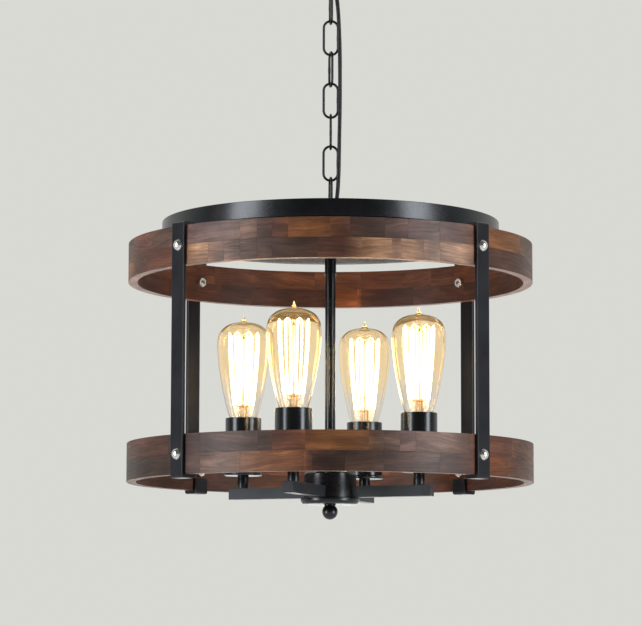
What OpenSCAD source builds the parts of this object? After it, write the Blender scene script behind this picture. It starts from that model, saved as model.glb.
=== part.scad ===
// Wood drum pendant light: two stained wood rings joined by four steel straps,
// a four-arm lamp cluster on a centre rod, and a chain down from a ceiling canopy.
// The origin is on the ceiling, at the centre of the mounting bracket. The light hangs along -Z.

/* [Ceiling canopy] */
// Diameter of the ceiling canopy
canopy_d = 120; // [115:1:140]
// Depth of the canopy below the ceiling
canopy_depth = 26; // [24:1:34]
// Thickness of the canopy's sheet
canopy_wall = 1.2; // [0.8:0.1:2]
// Radius of the canopy's rounded edge
canopy_edge_r = 9; // [4:1:14]

/* [Mounting bracket] */
// Distance between the two ceiling box screws
box_spacing = 88.9; // [84:0.1:92]
// End-to-end length of each bracket slot
slot_len = 10; // [6:1:12]
// Width of each bracket slot
slot_w = 4.8; // [4.2:0.1:5.4]
// Steel left beyond the end of each slot
bracket_margin = 4.5; // [3:0.5:5]
// Width of the bracket strip
bracket_w = 22; // [18:1:28]
// Thickness of the bracket strip
bracket_t = 2.5; // [2:0.1:3]
// Distance of the ground screw from the centre
ground_screw_x = 22; // [18:1:28]
// Diameter of the ground screw
ground_screw_d = 4; // [3.5:0.1:4.5]
// Diameter of the ground screw's head
ground_head_d = 8; // [7:0.5:9]
// Height of the ground screw's head
ground_head_h = 3; // [2:0.5:4]

/* [Nipples and collars] */
// Outside diameter of the threaded nipples
nipple_d = 10; // [9:0.1:10.6]
// Bore of the nipples, the rod and the loops
wire_bore = 7; // [6.4:0.1:7.6]
// Radial clearance of a screwed or pushed-in fit
fit_gap = 0.2; // [0.1:0.05:0.3]
// How far a nipple screws into a loop
loop_grip = 5.5; // [4:0.5:6]
// Height of the collar between a loop and what it clamps
collar_h = 4.5; // [3.5:0.5:6]
// Diameter of the canopy's collar
canopy_collar_d = 24; // [20:1:30]
// Width across corners of the fixture's hexagonal collar
fixture_collar_d = 20; // [18:1:24]
// Width across corners of the bracket's locknut
locknut_d = 17; // [15:1:20]
// Height of the bracket's locknut
locknut_h = 4; // [3:0.5:5]

/* [Loops] */
// Diameter of a loop's bar
loop_wire_d = 4; // [3.4:0.1:4.6]
// Outside width of a loop
loop_w = 24; // [22:0.5:28]
// Height of a loop from its seat to its outer end
loop_h = 36.3; // [34:0.1:42]
// Diameter of a loop's boss
boss_d = 18; // [16:0.5:20]
// Height of a loop's boss
boss_h = 8; // [7:0.5:9]

/* [Chain] */
// Outside length of a chain link
link_len = 44.5; // [42:0.5:48]
// Outside width of a chain link
link_w = 20; // [18:0.5:22]
// Diameter of a chain link's wire
link_wire_d = 3; // [2.6:0.1:3.4]
// Clearance between two hanging pieces where they bear
hang_gap = 0.3; // [0.2:0.05:0.5]

/* [Cord] */
// Diameter of the supply cord
cord_d = 4.8; // [4:0.1:5.2]

/* [Wood rings] */
// Outside diameter of the two wood rings
ring_d = 480; // [460:1:500]
// Thickness of the wood
ring_wall = 11; // [10:0.5:13]
// Height of one wood ring
ring_h = 45.4; // [42:0.2:50]
// Distance from the upper ring's top to the lower ring's bottom
drum_h = 282; // [270:1:290]
// Bevel on the rings' edges
ring_bevel = 0.8; // [0.4:0.1:1.2]
// Depth of the groove along the seam between the two courses of wood
seam_depth = 0.8; // [0.4:0.1:1.2]

/* [Top pan and crossbar] */
// Diameter of the top pan
pan_d = 401; // [380:1:420]
// Height of the top pan's rim
pan_h = 22; // [18:1:30]
// Thickness of the pan's sheet
pan_wall = 1.5; // [1:0.1:2]
// Radius of the pan's bent edge
pan_edge_r = 3; // [2.5:0.5:8]
// Width of the crossbar
bar_w = 20; // [16:1:26]
// Thickness of the crossbar
bar_t = 5; // [4:0.5:6]
// How far the crossbar's ends stay inside the wood's outer face
bar_setback = 1; // [0:0.5:1.5]
// Diameter of the crossbar's wood screws
bar_screw_d = 3.6; // [3:0.1:4.2]
// Length of the crossbar's wood screws below the bar
bar_screw_len = 16; // [10:1:20]
// Diameter of a wood screw's head
bar_head_d = 7.6; // [7:0.2:9]
// Height of a wood screw's head
bar_head_h = 2.4; // [2:0.2:3]

/* [Straps] */
// Width of a strap
strap_w = 20; // [16:1:26]
// Thickness of a strap
strap_t = 4; // [3:0.2:4.6]
// Clearance between a strap and the wood
strap_gap = 0.2; // [0.1:0.05:0.3]
// Radius of a strap's outer bends
strap_bend_r = 3; // [1:0.5:3]
// Height of the hooked lip inside the lower ring
lip_h = 15; // [10:0.5:16]
// Diameter of a strap bolt
bolt_d = 5; // [4:0.2:6]
// Diameter of a bolt's domed head
bolt_head_d = 13; // [11:0.5:15]
// Height of a bolt's domed head
bolt_head_h = 4.5; // [3:0.5:6]
// Width across corners of a nut
nut_d = 11.5; // [10:0.5:13]
// Height of a nut
nut_h = 4.5; // [3.5:0.5:5.5]
// Length of bolt that shows past its nut
bolt_tail = 1.2; // [0.5:0.1:3]

/* [Centre rod] */
// Diameter of the coupling under the crossbar
coupling_d = 13.5; // [13:0.1:16]
// Length of the coupling
coupling_len = 34; // [28:1:40]
// Diameter of the lip at the coupling's lower end
coupling_lip_d = 15; // [14.4:0.1:17]
// Height of the coupling's lip
coupling_lip_h = 1.2; // [0.8:0.1:2]
// How far the nipple and the rod screw into the coupling
coupling_grip = 12; // [9:0.5:13]
// Diameter of the rod
rod_d = 12.4; // [12:0.1:14]
// Length of the rod between the coupling and the hub
rod_len = 235; // [225:1:245]
// Diameter of the four holes that let the leads out of the rod
lead_hole_d = 5; // [4:0.2:6]

/* [Hub] */
// Diameter of the hub
hub_d = 62; // [58:0.5:66]
// Thickness of the hub's wall
hub_wall = 2; // [1.6:0.1:2.6]
// Radius of the hub's shoulder
hub_edge_r = 4; // [3:0.5:6]
// Depth from the hub's top to the top of its arms
hub_drop = 17.2; // [14:0.2:20]
// Diameter of the hub's cover
cover_d = 69.5; // [67:0.5:74]
// Height of the hub's cover
cover_h = 7.6; // [6:0.2:10]
// Radius of the cover's lower edge
cover_edge_r = 4.5; // [2:0.5:5.5]
// Diameter of the ball finial
finial_d = 18.4; // [16:0.2:22]
// Diameter of the finial's foot
finial_foot_d = 14; // [12.5:0.5:16]
// Height of the finial's foot
finial_foot_h = 1.4; // [1.2:0.2:3]
// How far the foot sinks into the ball
finial_sink = 2; // [1:0.2:3]
// Length of the finial's stud inside the rod
finial_stud_len = 9; // [6:0.5:9.5]

/* [Arms] */
// Outside size of an arm's square tube
arm_size = 13.2; // [12:0.2:14]
// Thickness of an arm's tube
arm_wall = 1.2; // [1:0.1:1.6]
// Distance from the rod's axis to an arm's outer end
arm_reach = 128; // [124:1:136]
// How far an arm runs inside the hub's wall
arm_grip = 6; // [4:0.5:8]
// Direction of the first arm, turned from +X
arm_angle = -22; // [-30:1:-10]
// Distance from the rod's axis to a bulb's axis
socket_r = 112; // [106:1:118]

/* [Socket stems] */
// Diameter of a socket stem
stem_d = 13.4; // [12:0.2:15]
// Length of a socket stem
stem_len = 15.2; // [12:0.2:20]
// Bore of a socket stem
stem_bore = 6; // [5:0.2:6.6]
// Diameter of the stem's spigots
spigot_d = 9; // [8:0.2:9.6]
// Length of the stem's spigots
spigot_len = 3; // [2.5:0.1:3.4]

/* [Socket cups] */
// Diameter of a socket cup
cup_d = 43; // [42:0.5:46]
// Thickness of a cup's wall
cup_wall = 1.5; // [1:0.1:2]
// Height of a cup
cup_h = 69; // [66:0.5:76]
// Thickness of a cup's base
cup_base_t = 2; // [1.6:0.1:2.4]
// Diameter of the rim round a cup's base
cup_rim_d = 45.6; // [43.4:0.1:48]
// Height of the rim round a cup's base
cup_rim_h = 4; // [3:0.5:6]

/* [Lamp holders] */
// Diameter of a lamp holder's body
holder_d = 35; // [33:0.5:36.5]
// Height of a lamp holder's flanges
holder_flange_h = 4; // [3:0.5:6]
// Radial clearance between a holder's flange and the cup
holder_gap = 0.3; // [0.2:0.05:0.5]
// Height of the bulb's contact above the cup's base
contact_h = 35; // [30:0.5:38]
// Diameter of the wiring recess under a lamp holder
recess_d = 16; // [12:0.5:20]
// Depth of the wiring recess under a lamp holder
recess_h = 10; // [8:0.5:14]

/* [Bulbs] */
// Diameter of a bulb's screw cap
cap_d = 26; // [25.6:0.1:26.4]
// Length of a bulb's screw cap
cap_len = 26; // [24:0.5:28]
// Clearance between a bulb's cap and its lamp holder
cap_gap = 0.3; // [0.2:0.05:0.5]
// Diameter of the contact under a bulb's cap
contact_d = 9; // [7:0.5:11]
// Diameter of a bulb's glass
glass_d = 64; // [60:0.5:68]
// Thickness of the glass
glass_wall = 1; // [0.8:0.1:1.4]
// Length of a bulb
bulb_len = 158; // [150:1:162]
// Height of the drawn tip above the glass's dome
tip_h = 8.5; // [6:0.5:12]
// Height of the dome above the glass's widest point
crown_h = 27.5; // [24:0.5:32]
// Diameter of a filament strand
strand_d = 1.2; // [0.8:0.1:1.4]
// Radius of the filament cage at its top
cage_top_r = 15; // [12:0.5:17]
// Radius of the filament cage at its bottom
cage_low_r = 8.5; // [8:0.5:11]

/* [Hidden] */
$fn = 96;

// Finishes as the photograph shows them
BLACK = [0.11, 0.1, 0.11];
DARK_STEEL = [0.2, 0.19, 0.2];
ZINC = [0.72, 0.72, 0.7];
WOOD = [0.42, 0.26, 0.17];
BRASS = [0.75, 0.6, 0.35];
GLASS = [0.95, 0.85, 0.65, 0.45];
GLOW = [1, 0.85, 0.5];
CERAMIC = [0.85, 0.83, 0.78];
GREEN = [0.15, 0.5, 0.25];

// Small cut that makes a hole run clear of the faces it opens in
CUT = 1;

// Heights down from the ceiling, each worked out from the piece above it
canopy_bottom = -canopy_depth;
canopy_loop_seat = canopy_bottom - collar_h;
loop_end = loop_h - loop_wire_d / 2;
bear = (loop_wire_d + link_wire_d) / 2 + hang_gap;
link_c = link_len - link_wire_d;
link_pitch = link_c - link_wire_d - hang_gap;
LINKS = 7;
top_link_z = canopy_loop_seat - loop_end + bear - link_c / 2;
low_link_z = top_link_z - (LINKS - 1) * link_pitch;
fixture_loop_seat = low_link_z - link_c / 2 + bear - loop_end;
pan_floor = fixture_loop_seat - collar_h;
bar_top = pan_floor - pan_wall;
upper_ring_top = bar_top - bar_t;
upper_ring_bottom = upper_ring_top - ring_h;
lower_ring_bottom = upper_ring_top - drum_h;
coupling_bottom = upper_ring_top - coupling_len;
hub_top = coupling_bottom - rod_len;
arm_top = hub_top - hub_drop;
arm_mid = arm_top - arm_size / 2;
cover_top = arm_top - arm_size;
cover_bottom = cover_top - cover_h;
cup_bottom = arm_top + stem_len;
contact_z = cup_bottom + contact_h;

// Turn of each chain link about the vertical, first link at the fixture
link_twist = [8, 0, 0, 0, 12, 0, 8];

// Radii
ring_r = ring_d / 2;
wood_mid_r = ring_r - ring_wall / 2;
nipple_hole_d = nipple_d + 2 * fit_gap;
loop_bend_r = (loop_w - loop_wire_d) / 2;
link_bend_r = (link_w - link_wire_d) / 2;
cap_r = cap_d / 2;
cup_inner_r = cup_d / 2 - cup_wall;

// Heights of the glass above the bulb's contact
glass_low = cap_len + cap_gap;
glass_top = bulb_len - tip_h;
glass_belly = glass_top - crown_h;

// Straps: faces that bear on the wood, and the corners beyond them
STRAP_TURNS = [45, 135, 225, 315];
ring_mids = [upper_ring_bottom + ring_h / 2, lower_ring_bottom + ring_h / 2];
strap_in = ring_r + strap_gap;
strap_out = strap_in + strap_t;
flange_in = ring_r - ring_wall;
flange_low = upper_ring_top + strap_gap;
lip_out = sqrt(pow(ring_r - ring_wall, 2) - pow(strap_w / 2, 2)) - strap_gap;
foot_top = lower_ring_bottom - strap_gap;
bolt_hole_d = bolt_d + 2 * fit_gap;
// The nut's flat face touches the curved wood at its corners
nut_seat_r = sqrt(pow(ring_r - ring_wall, 2) - pow(nut_d / 2, 2)) - fit_gap / 2;

// Arms and sockets
ARM_TURNS = [arm_angle + 180, arm_angle + 270, arm_angle + 90, arm_angle];
arm_in = hub_d / 2 - hub_wall - arm_grip;
spigot_hole_d = spigot_d + 2 * fit_gap;

// Route of the supply cord: down the bracket's nipple, out through the canopy's loop,
// down in front of the chain, and in through the fixture's loop to the hanger nipple
cord_route = [
    [0, 0, -4], [0, 0, -12], [0, 0, -20], [0, 0, -28], [0, 0, -36],
    [0.2, -0.2, -39], [0.7, -0.7, -42], [1.6, -1.5, -45], [2.7, -2.6, -47.4],
    [3.8, -3.6, -49.8], [4.7, -4.5, -52.8], [5.2, -5, -55.8], [5.4, -5.2, -58.8],
    [5.8, -5.2, -64], [6.5, -5.2, -69], [7.6, -5.2, -77], [8.8, -5.2, -90],
    [9.8, -5.1, -108], [10.5, -5, -128], [10.9, -5, -150], [11, -5, -172],
    [11, -5, -194], [10.8, -5, -216], [10.4, -5, -238], [10.1, -5, -260],
    [9.7, -5.1, -280], [8.9, -5.2, -300], [7.7, -5.2, -314], [6.5, -5.2, -323],
    [5.8, -5.2, -329], [5.4, -5.2, -334], [5.2, -5, -337], [4.7, -4.5, -340],
    [3.8, -3.6, -343], [2.7, -2.6, -345.4], [1.6, -1.5, -347.8], [0.7, -0.7, -350.8],
    [0.2, -0.2, -353.8], [0, 0, -357], [0, 0, -364], [0, 0, -371]
];
CORD_SIDES = 10;
leads_top = -371.3;
bundle_d = 4.4;
lead_d = 3.2;

// Points of an arc round (x, y)
function arc(x, y, r, from, to, n = 8) =
    [for (i = [0:n]) let (a = from + (to - from) * i / n) [x + r * cos(a), y + r * sin(a)]];

// Points of a cubic curve from a to d, with b and c as its handles
function curve(a, b, c, d, n = 8) =
    [for (i = [0:n]) let (t = i / n, u = 1 - t)
        a * u * u * u + b * 3 * u * u * t + c * 3 * u * t * t + d * t * t * t];

// Direction, carried normals and ring points of a round tube along a route
function unit(v) = v / norm(v);
function heading(p, i) =
    i == 0 ? unit(p[1] - p[0])
    : i == len(p) - 1 ? unit(p[i] - p[i - 1])
    : unit(unit(p[i] - p[i - 1]) + unit(p[i + 1] - p[i]));
function square_to(n, t) = unit(n - (n * t) * t);
function normals(p, first, i = 0, done = []) =
    i == len(p) ? done
    : normals(p, first, i + 1, concat(done, [square_to(i == 0 ? first : done[i - 1], heading(p, i))]));

module tube(route, d, sides, first = [1, 0, 0]) {
    ns = normals(route, first);
    last = len(route) - 1;
    rings = [for (i = [0:last], k = [0:sides - 1])
        let (t = heading(route, i), a = 360 * k / sides)
            route[i] + d / 2 * (cos(a) * ns[i] + sin(a) * cross(t, ns[i]))];
    walls = [for (i = [0:last - 1], k = [0:sides - 1])
        let (a = i * sides + k, b = i * sides + (k + 1) % sides)
            each [[a, a + sides, b], [b, a + sides, b + sides]]];
    near_end = [for (k = [1:sides - 2]) [0, k, k + 1]];
    far_end = [for (k = [1:sides - 2]) [last * sides, last * sides + k + 1, last * sides + k]];
    polyhedron(points = rings, faces = concat(walls, near_end, far_end));
}

// A bar bent into a stadium in the XZ plane, between two bend centres
module wire_loop(d, bend_r, z_low, z_high) {
    for (side = [-1, 1])
        translate([side * bend_r, 0, z_low]) cylinder(d = d, h = z_high - z_low);
    translate([0, 0, z_high]) rotate([90, 0, 0])
        rotate_extrude(angle = 180) translate([bend_r, 0]) circle(d = d);
    translate([0, 0, z_low]) rotate([90, 0, 0]) rotate([0, 0, 180])
        rotate_extrude(angle = 180) translate([bend_r, 0]) circle(d = d);
}

// Flat disc or tube between two heights, with an open bore
module sleeve(outer_d, inner_d, low, high) {
    translate([0, 0, low]) difference() {
        cylinder(d = outer_d, h = high - low);
        translate([0, 0, -CUT]) cylinder(d = inner_d, h = high - low + 2 * CUT);
    }
}

// Hexagonal nut with an open bore
module hex_nut(corners_d, inner_d, low, high) {
    translate([0, 0, low]) difference() {
        cylinder(d = corners_d, h = high - low, $fn = 6);
        translate([0, 0, -CUT]) cylinder(d = inner_d, h = high - low + 2 * CUT);
    }
}

// Domed cap on the XY plane, rising to h
module dome(d, h) {
    sphere_r = (d * d / 4 + h * h) / (2 * h);
    rotate_extrude() intersection() {
        translate([0, h - sphere_r]) circle(r = sphere_r);
        square([d / 2, h]);
    }
}

// Loop on its seat at z = 0, rising to loop_h, with a threaded mouth and a bore for the cord
module loop_casting() {
    neck_r = boss_d / 2 - 2;
    bore_z = loop_grip + fit_gap;
    low_bend_z = boss_h + loop_bend_r - loop_wire_d / 4;
    difference() {
        union() {
            cylinder(d = boss_d, h = boss_h - 2);
            translate([0, 0, boss_h - 2]) cylinder(r1 = boss_d / 2, r2 = neck_r - 0.5, h = 3);
            wire_loop(loop_wire_d, loop_bend_r, low_bend_z, loop_end - loop_bend_r);
        }
        translate([0, 0, -CUT]) cylinder(d = nipple_hole_d, h = bore_z + CUT);
        cylinder(d = wire_bore, h = boss_h + loop_wire_d);
    }
}

module ceiling_bracket() {
    half = (box_spacing + slot_len) / 2 + bracket_margin;
    end_x = half - bracket_w / 2;
    slot_half = (slot_len - slot_w) / 2;
    color(ZINC) translate([0, 0, -bracket_t]) linear_extrude(bracket_t) difference() {
        union() {
            square([2 * end_x, bracket_w], center = true);
            for (side = [-1, 1]) translate([side * end_x, 0]) circle(d = bracket_w);
        }
        for (side = [-1, 1]) translate([side * box_spacing / 2, 0]) {
            square([2 * slot_half, slot_w], center = true);
            for (end = [-1, 1]) translate([end * slot_half, 0]) circle(d = slot_w);
        }
        circle(d = nipple_hole_d);
        translate([ground_screw_x, 0]) circle(d = ground_screw_d + 2 * fit_gap);
    }
}

module bracket_nipple() {
    color(ZINC) sleeve(nipple_d, wire_bore, canopy_loop_seat - loop_grip, 0);
}

module bracket_locknut() {
    color(ZINC) hex_nut(locknut_d, nipple_hole_d, -bracket_t - locknut_h, -bracket_t);
}

module ground_screw() {
    washer_h = 1;
    color(GREEN) translate([ground_screw_x, 0, -bracket_t]) {
        cylinder(d = ground_screw_d, h = bracket_t);
        translate([0, 0, -washer_h]) cylinder(d = ground_head_d, h = washer_h);
        translate([0, 0, -ground_head_h]) cylinder(d = ground_head_d * 0.85, h = ground_head_h, $fn = 6);
    }
}

module canopy() {
    r = canopy_d / 2;
    low = canopy_bottom;
    bend = canopy_edge_r;
    hole_r = nipple_hole_d / 2;
    color(BLACK) rotate_extrude() polygon(concat(
        [[hole_r, low]], arc(r - bend, low + bend, bend, -90, 0), [[r, 0], [r - canopy_wall, 0]],
        arc(r - bend, low + bend, bend - canopy_wall, 0, -90), [[hole_r, low + canopy_wall]]));
}

module canopy_collar() {
    bevel = 1;
    r = canopy_collar_d / 2;
    color(BLACK) translate([0, 0, canopy_loop_seat]) rotate_extrude()
        polygon([[nipple_hole_d / 2, 0], [r - bevel, 0], [r, bevel], [r, collar_h],
            [nipple_hole_d / 2, collar_h]]);
}

module canopy_loop() {
    color(BLACK) translate([0, 0, canopy_loop_seat]) rotate([180, 0, 0]) loop_casting();
}

module fixture_loop() {
    color(BLACK) translate([0, 0, fixture_loop_seat]) loop_casting();
}

module supply_cord() {
    color(DARK_STEEL) tube(cord_route, cord_d, CORD_SIDES);
}

// Odd links hang side-on to the front, even links face it
module chain_link(n) {
    z = low_link_z + (n - 1) * link_pitch;
    leg = link_c / 2 - link_bend_r;
    turn = link_twist[n - 1] + (n % 2 == 1 ? 90 : 0);
    color(BLACK) rotate([0, 0, turn]) wire_loop(link_wire_d, link_bend_r, z - leg, z + leg);
}

module fixture_collar() {
    color(BLACK) hex_nut(fixture_collar_d, nipple_hole_d, pan_floor, fixture_loop_seat);
}

module hanger_nipple() {
    color(ZINC) sleeve(nipple_d, wire_bore, upper_ring_top - coupling_grip, fixture_loop_seat + loop_grip);
}

module top_pan() {
    r = pan_d / 2;
    low = bar_top;
    bend = pan_edge_r;
    hole_r = nipple_hole_d / 2;
    color(BLACK) rotate_extrude() polygon(concat(
        [[hole_r, low]], arc(r - bend, low + bend, bend, -90, 0),
        [[r, low + pan_h], [r - pan_wall, low + pan_h]],
        arc(r - bend, low + bend, bend - pan_wall, 0, -90), [[hole_r, low + pan_wall]]));
}

module crossbar() {
    end_x = ring_r - bar_setback - bar_w / 2;
    color(BLACK) translate([0, 0, upper_ring_top]) linear_extrude(bar_t) difference() {
        union() {
            square([2 * end_x, bar_w], center = true);
            for (side = [-1, 1]) translate([side * end_x, 0]) circle(d = bar_w);
        }
        circle(d = nipple_hole_d);
        for (side = [-1, 1]) translate([side * wood_mid_r, 0]) circle(d = bar_screw_d + 2 * fit_gap);
    }
}

module crossbar_screws() {
    color(BLACK) for (side = [-1, 1]) translate([side * wood_mid_r, 0, 0]) {
        translate([0, 0, bar_top]) dome(bar_head_d, bar_head_h);
        translate([0, 0, upper_ring_top - bar_screw_len])
            cylinder(d = bar_screw_d, h = bar_t + bar_screw_len);
    }
}

// One wood ring: two courses glued at a seam, bored for the strap bolts
module wood_ring(low) {
    ro = ring_r;
    ri = ring_r - ring_wall;
    e = ring_bevel;
    s = seam_depth;
    mid = ring_h / 2;
    difference() {
        translate([0, 0, low]) rotate_extrude() polygon([
            [ro - e, 0], [ro, e], [ro, mid - s], [ro - s, mid], [ro, mid + s], [ro, ring_h - e],
            [ro - e, ring_h], [ri + e, ring_h], [ri, ring_h - e], [ri, mid + s], [ri + s, mid],
            [ri, mid - s], [ri, e], [ri + e, 0]]);
        for (turn = STRAP_TURNS) rotate([0, 0, turn]) translate([ri - CUT, 0, low + mid])
            rotate([0, 90, 0]) cylinder(d = bolt_hole_d, h = ring_wall + 2 * CUT);
    }
}

module upper_ring() {
    color(WOOD) difference() {
        wood_ring(upper_ring_bottom);
        for (side = [-1, 1]) translate([side * wood_mid_r, 0, upper_ring_top - bar_screw_len - CUT])
            cylinder(d = bar_screw_d + 2 * fit_gap, h = bar_screw_len + 2 * CUT);
    }
}

module lower_ring() {
    color(WOOD) wood_ring(lower_ring_bottom);
}

// Bent steel strap: a flange on the upper ring, a hook round the lower one
module strap(turn) {
    top = flange_low + strap_t;
    foot = foot_top - strap_t;
    lip_in = lip_out - strap_t;
    lip_top = foot_top + lip_h;
    b = strap_bend_r;
    outline = concat(
        [[flange_in, top], [flange_in, flange_low], [strap_in, flange_low], [strap_in, foot_top],
            [lip_out, foot_top], [lip_out, lip_top], [lip_in, lip_top]],
        arc(lip_in + b, foot + b, b, 180, 270), arc(strap_out - b, foot + b, b, 270, 360),
        arc(strap_out - b, top - b, b, 0, 90));
    color(BLACK) rotate([0, 0, turn]) difference() {
        rotate([90, 0, 0]) linear_extrude(strap_w, center = true) polygon(outline);
        for (z = ring_mids) translate([strap_in - CUT, 0, z])
            rotate([0, 90, 0]) cylinder(d = bolt_hole_d, h = strap_t + 2 * CUT);
    }
}

module at_bolts() {
    for (turn = STRAP_TURNS, z = ring_mids) rotate([0, 0, turn]) translate([0, 0, z]) children();
}

module strap_bolts() {
    tail_r = nut_seat_r - nut_h - bolt_tail;
    color(ZINC) at_bolts() {
        translate([tail_r, 0, 0]) rotate([0, 90, 0]) cylinder(d = bolt_d, h = strap_out - tail_r);
        translate([strap_out, 0, 0]) rotate([0, 90, 0]) dome(bolt_head_d, bolt_head_h);
    }
}

module strap_nuts() {
    color(ZINC) at_bolts() translate([nut_seat_r - nut_h, 0, 0]) rotate([0, 90, 0])
        hex_nut(nut_d, bolt_hole_d, 0, nut_h);
}

module rod_coupling() {
    bore = nipple_hole_d / 2;
    r = coupling_d / 2;
    lip_r = coupling_lip_d / 2;
    color(BLACK) translate([0, 0, coupling_bottom]) rotate_extrude() polygon([
        [bore, 0], [lip_r, 0], [lip_r, coupling_lip_h], [r, coupling_lip_h],
        [r, coupling_len], [bore, coupling_len]]);
}

// Tube with a threaded spigot at each end; the lower one runs through the hub and its cover
module centre_rod() {
    bore = wire_bore / 2;
    neck = nipple_d / 2;
    r = rod_d / 2;
    color(BLACK) difference() {
        rotate_extrude() polygon([
            [bore, cover_bottom], [neck, cover_bottom], [neck, hub_top], [r, hub_top],
            [r, coupling_bottom], [neck, coupling_bottom], [neck, coupling_bottom + coupling_grip],
            [bore, coupling_bottom + coupling_grip]]);
        for (turn = ARM_TURNS) rotate([0, 0, turn]) translate([0, 0, arm_mid])
            rotate([0, 90, 0]) cylinder(d = lead_hole_d, h = rod_d);
    }
}

// Open-bottomed shell with a notch over each arm
module hub_body() {
    r = hub_d / 2;
    hole_r = nipple_hole_d / 2;
    e = hub_edge_r;
    notch = arm_size + 2 * fit_gap;
    color(BLACK) difference() {
        rotate_extrude() polygon(concat(
            [[hole_r, hub_top - hub_wall], [hole_r, hub_top]],
            arc(r - e, hub_top - e, e, 90, 0), [[r, cover_top], [r - hub_wall, cover_top]],
            arc(r - e, hub_top - e, e - hub_wall, 0, 90)));
        for (turn = ARM_TURNS) rotate([0, 0, turn])
            translate([arm_in, -notch / 2, cover_top - CUT])
                cube([hub_d, notch, arm_size + CUT + fit_gap]);
    }
}

module hub_cover() {
    r = cover_d / 2;
    hole_r = nipple_hole_d / 2;
    e = cover_edge_r;
    color(BLACK) rotate_extrude() polygon(concat(
        [[hole_r, cover_top], [hole_r, cover_bottom]],
        arc(r - e, cover_bottom + e, e, -90, 0), [[r, cover_top - 1], [r - 1, cover_top]]));
}

module finial() {
    ball_drop = finial_foot_h + finial_d / 2 - finial_sink;
    color(BLACK) {
        translate([0, 0, cover_bottom]) cylinder(d = wire_bore - 2 * fit_gap, h = finial_stud_len);
        translate([0, 0, cover_bottom - finial_foot_h]) cylinder(d = finial_foot_d, h = finial_foot_h);
        translate([0, 0, cover_bottom - ball_drop]) sphere(d = finial_d);
    }
}

// Square tube with a closed outer end, drilled above for its stem
module arm(turn) {
    inner = arm_size - 2 * arm_wall;
    length = arm_reach - arm_in;
    color(BLACK) rotate([0, 0, turn]) difference() {
        translate([arm_in, -arm_size / 2, cover_top]) cube([length, arm_size, arm_size]);
        translate([arm_in - CUT, -inner / 2, cover_top + arm_wall])
            cube([length - arm_wall + CUT, inner, inner]);
        translate([socket_r, 0, arm_mid]) cylinder(d = spigot_hole_d, h = arm_size);
    }
}

module at_sockets() {
    for (turn = ARM_TURNS) rotate([0, 0, turn]) translate([socket_r, 0, 0]) children();
}

module socket_stems() {
    bore = stem_bore / 2;
    neck = spigot_d / 2;
    r = stem_d / 2;
    color(BLACK) at_sockets() translate([0, 0, arm_top]) rotate_extrude() polygon([
        [bore, -spigot_len], [neck, -spigot_len], [neck, 0], [r, 0], [r, stem_len],
        [neck, stem_len], [neck, stem_len + spigot_len], [bore, stem_len + spigot_len]]);
}

module socket_cup(turn) {
    r = cup_d / 2;
    rim_r = cup_rim_d / 2;
    e = cup_rim_h / 2;
    color(BLACK) rotate([0, 0, turn]) translate([socket_r, 0, cup_bottom]) rotate_extrude()
        polygon(concat(
            [[spigot_hole_d / 2, cup_base_t], [spigot_hole_d / 2, 0]],
            arc(rim_r - e, e, e, -90, 90), [[r, cup_rim_h], [r, cup_h], [cup_inner_r, cup_h],
                [cup_inner_r, cup_base_t]]));
}

// Insulated body with a threaded bore for the bulb's cap and a recess for the wiring
module lamp_holders() {
    flange_r = cup_inner_r - holder_gap;
    r = holder_d / 2;
    bore_r = cap_r + cap_gap;
    low = cup_base_t;
    floor_h = contact_h - cap_gap;
    top = contact_h + cap_len - holder_gap;
    f = holder_flange_h;
    color(CERAMIC) at_sockets() translate([0, 0, cup_bottom]) rotate_extrude() polygon([
        [0, low + recess_h], [recess_d / 2, low + recess_h], [recess_d / 2, low], [flange_r, low],
        [flange_r, low + f], [r, low + f], [r, top - f], [flange_r, top - f], [flange_r, top],
        [bore_r, top], [bore_r, floor_h], [0, floor_h]]);
}

// Wires from the cord through the rod, the hub, the arms and the stems
module inner_leads() {
    lead_end = cup_bottom + cup_base_t + recess_h;
    color(DARK_STEEL) {
        translate([0, 0, arm_mid]) cylinder(d = bundle_d, h = leads_top - arm_mid);
        translate([0, 0, arm_mid]) sphere(d = bundle_d);
        for (turn = ARM_TURNS) rotate([0, 0, turn]) {
            translate([0, 0, arm_mid]) rotate([0, 90, 0]) cylinder(d = lead_d, h = socket_r);
            translate([socket_r, 0, arm_mid]) {
                sphere(d = lead_d + 0.4);
                cylinder(d = lead_d, h = lead_end - arm_mid);
            }
        }
    }
}

module at_bulb(turn) {
    rotate([0, 0, turn]) translate([socket_r, 0, contact_z]) children();
}

// Side of the drop from its neck to its dome, drawn in by w, and w lower at the dome
function drop_side(w) =
    let (
        r = glass_d / 2,
        neck_r = cap_r + 0.6 - w,
        flare_r = cap_r + 6.5 - w,
        haunch = glass_belly + crown_h * 0.62)
    concat(
        curve([neck_r, glass_low + w], [flare_r, glass_low + w + 9.7], [r - w, glass_belly - 30],
            [r - w, glass_belly], 10),
        curve([r - w, glass_belly + 1], [r - w, haunch - w], [r * 0.75 - w, glass_top - 1.5 - w],
            [6 - w, glass_top - w]));

// Drop-shaped glass with a drawn tip
module bulb_glass(turn) {
    stem_r = cap_r - 1.2;
    stem_low = cap_len - 6;
    w = glass_wall;
    side = drop_side(w);
    tip = curve([5, glass_top + 0.3], [3, glass_top + 1], [2.4, bulb_len - 4], [1.4, bulb_len - 0.8], 4);
    inside = [for (i = [len(side) - 1:-1:0]) side[i]];
    color(GLASS) at_bulb(turn) rotate_extrude() polygon(concat(
        [[stem_r, stem_low], [stem_r, glass_low]], drop_side(0), tip, [[0, bulb_len]],
        [[0, glass_top - w]], inside, [[stem_r - w, glass_low], [stem_r - w, stem_low]]));
}

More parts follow.
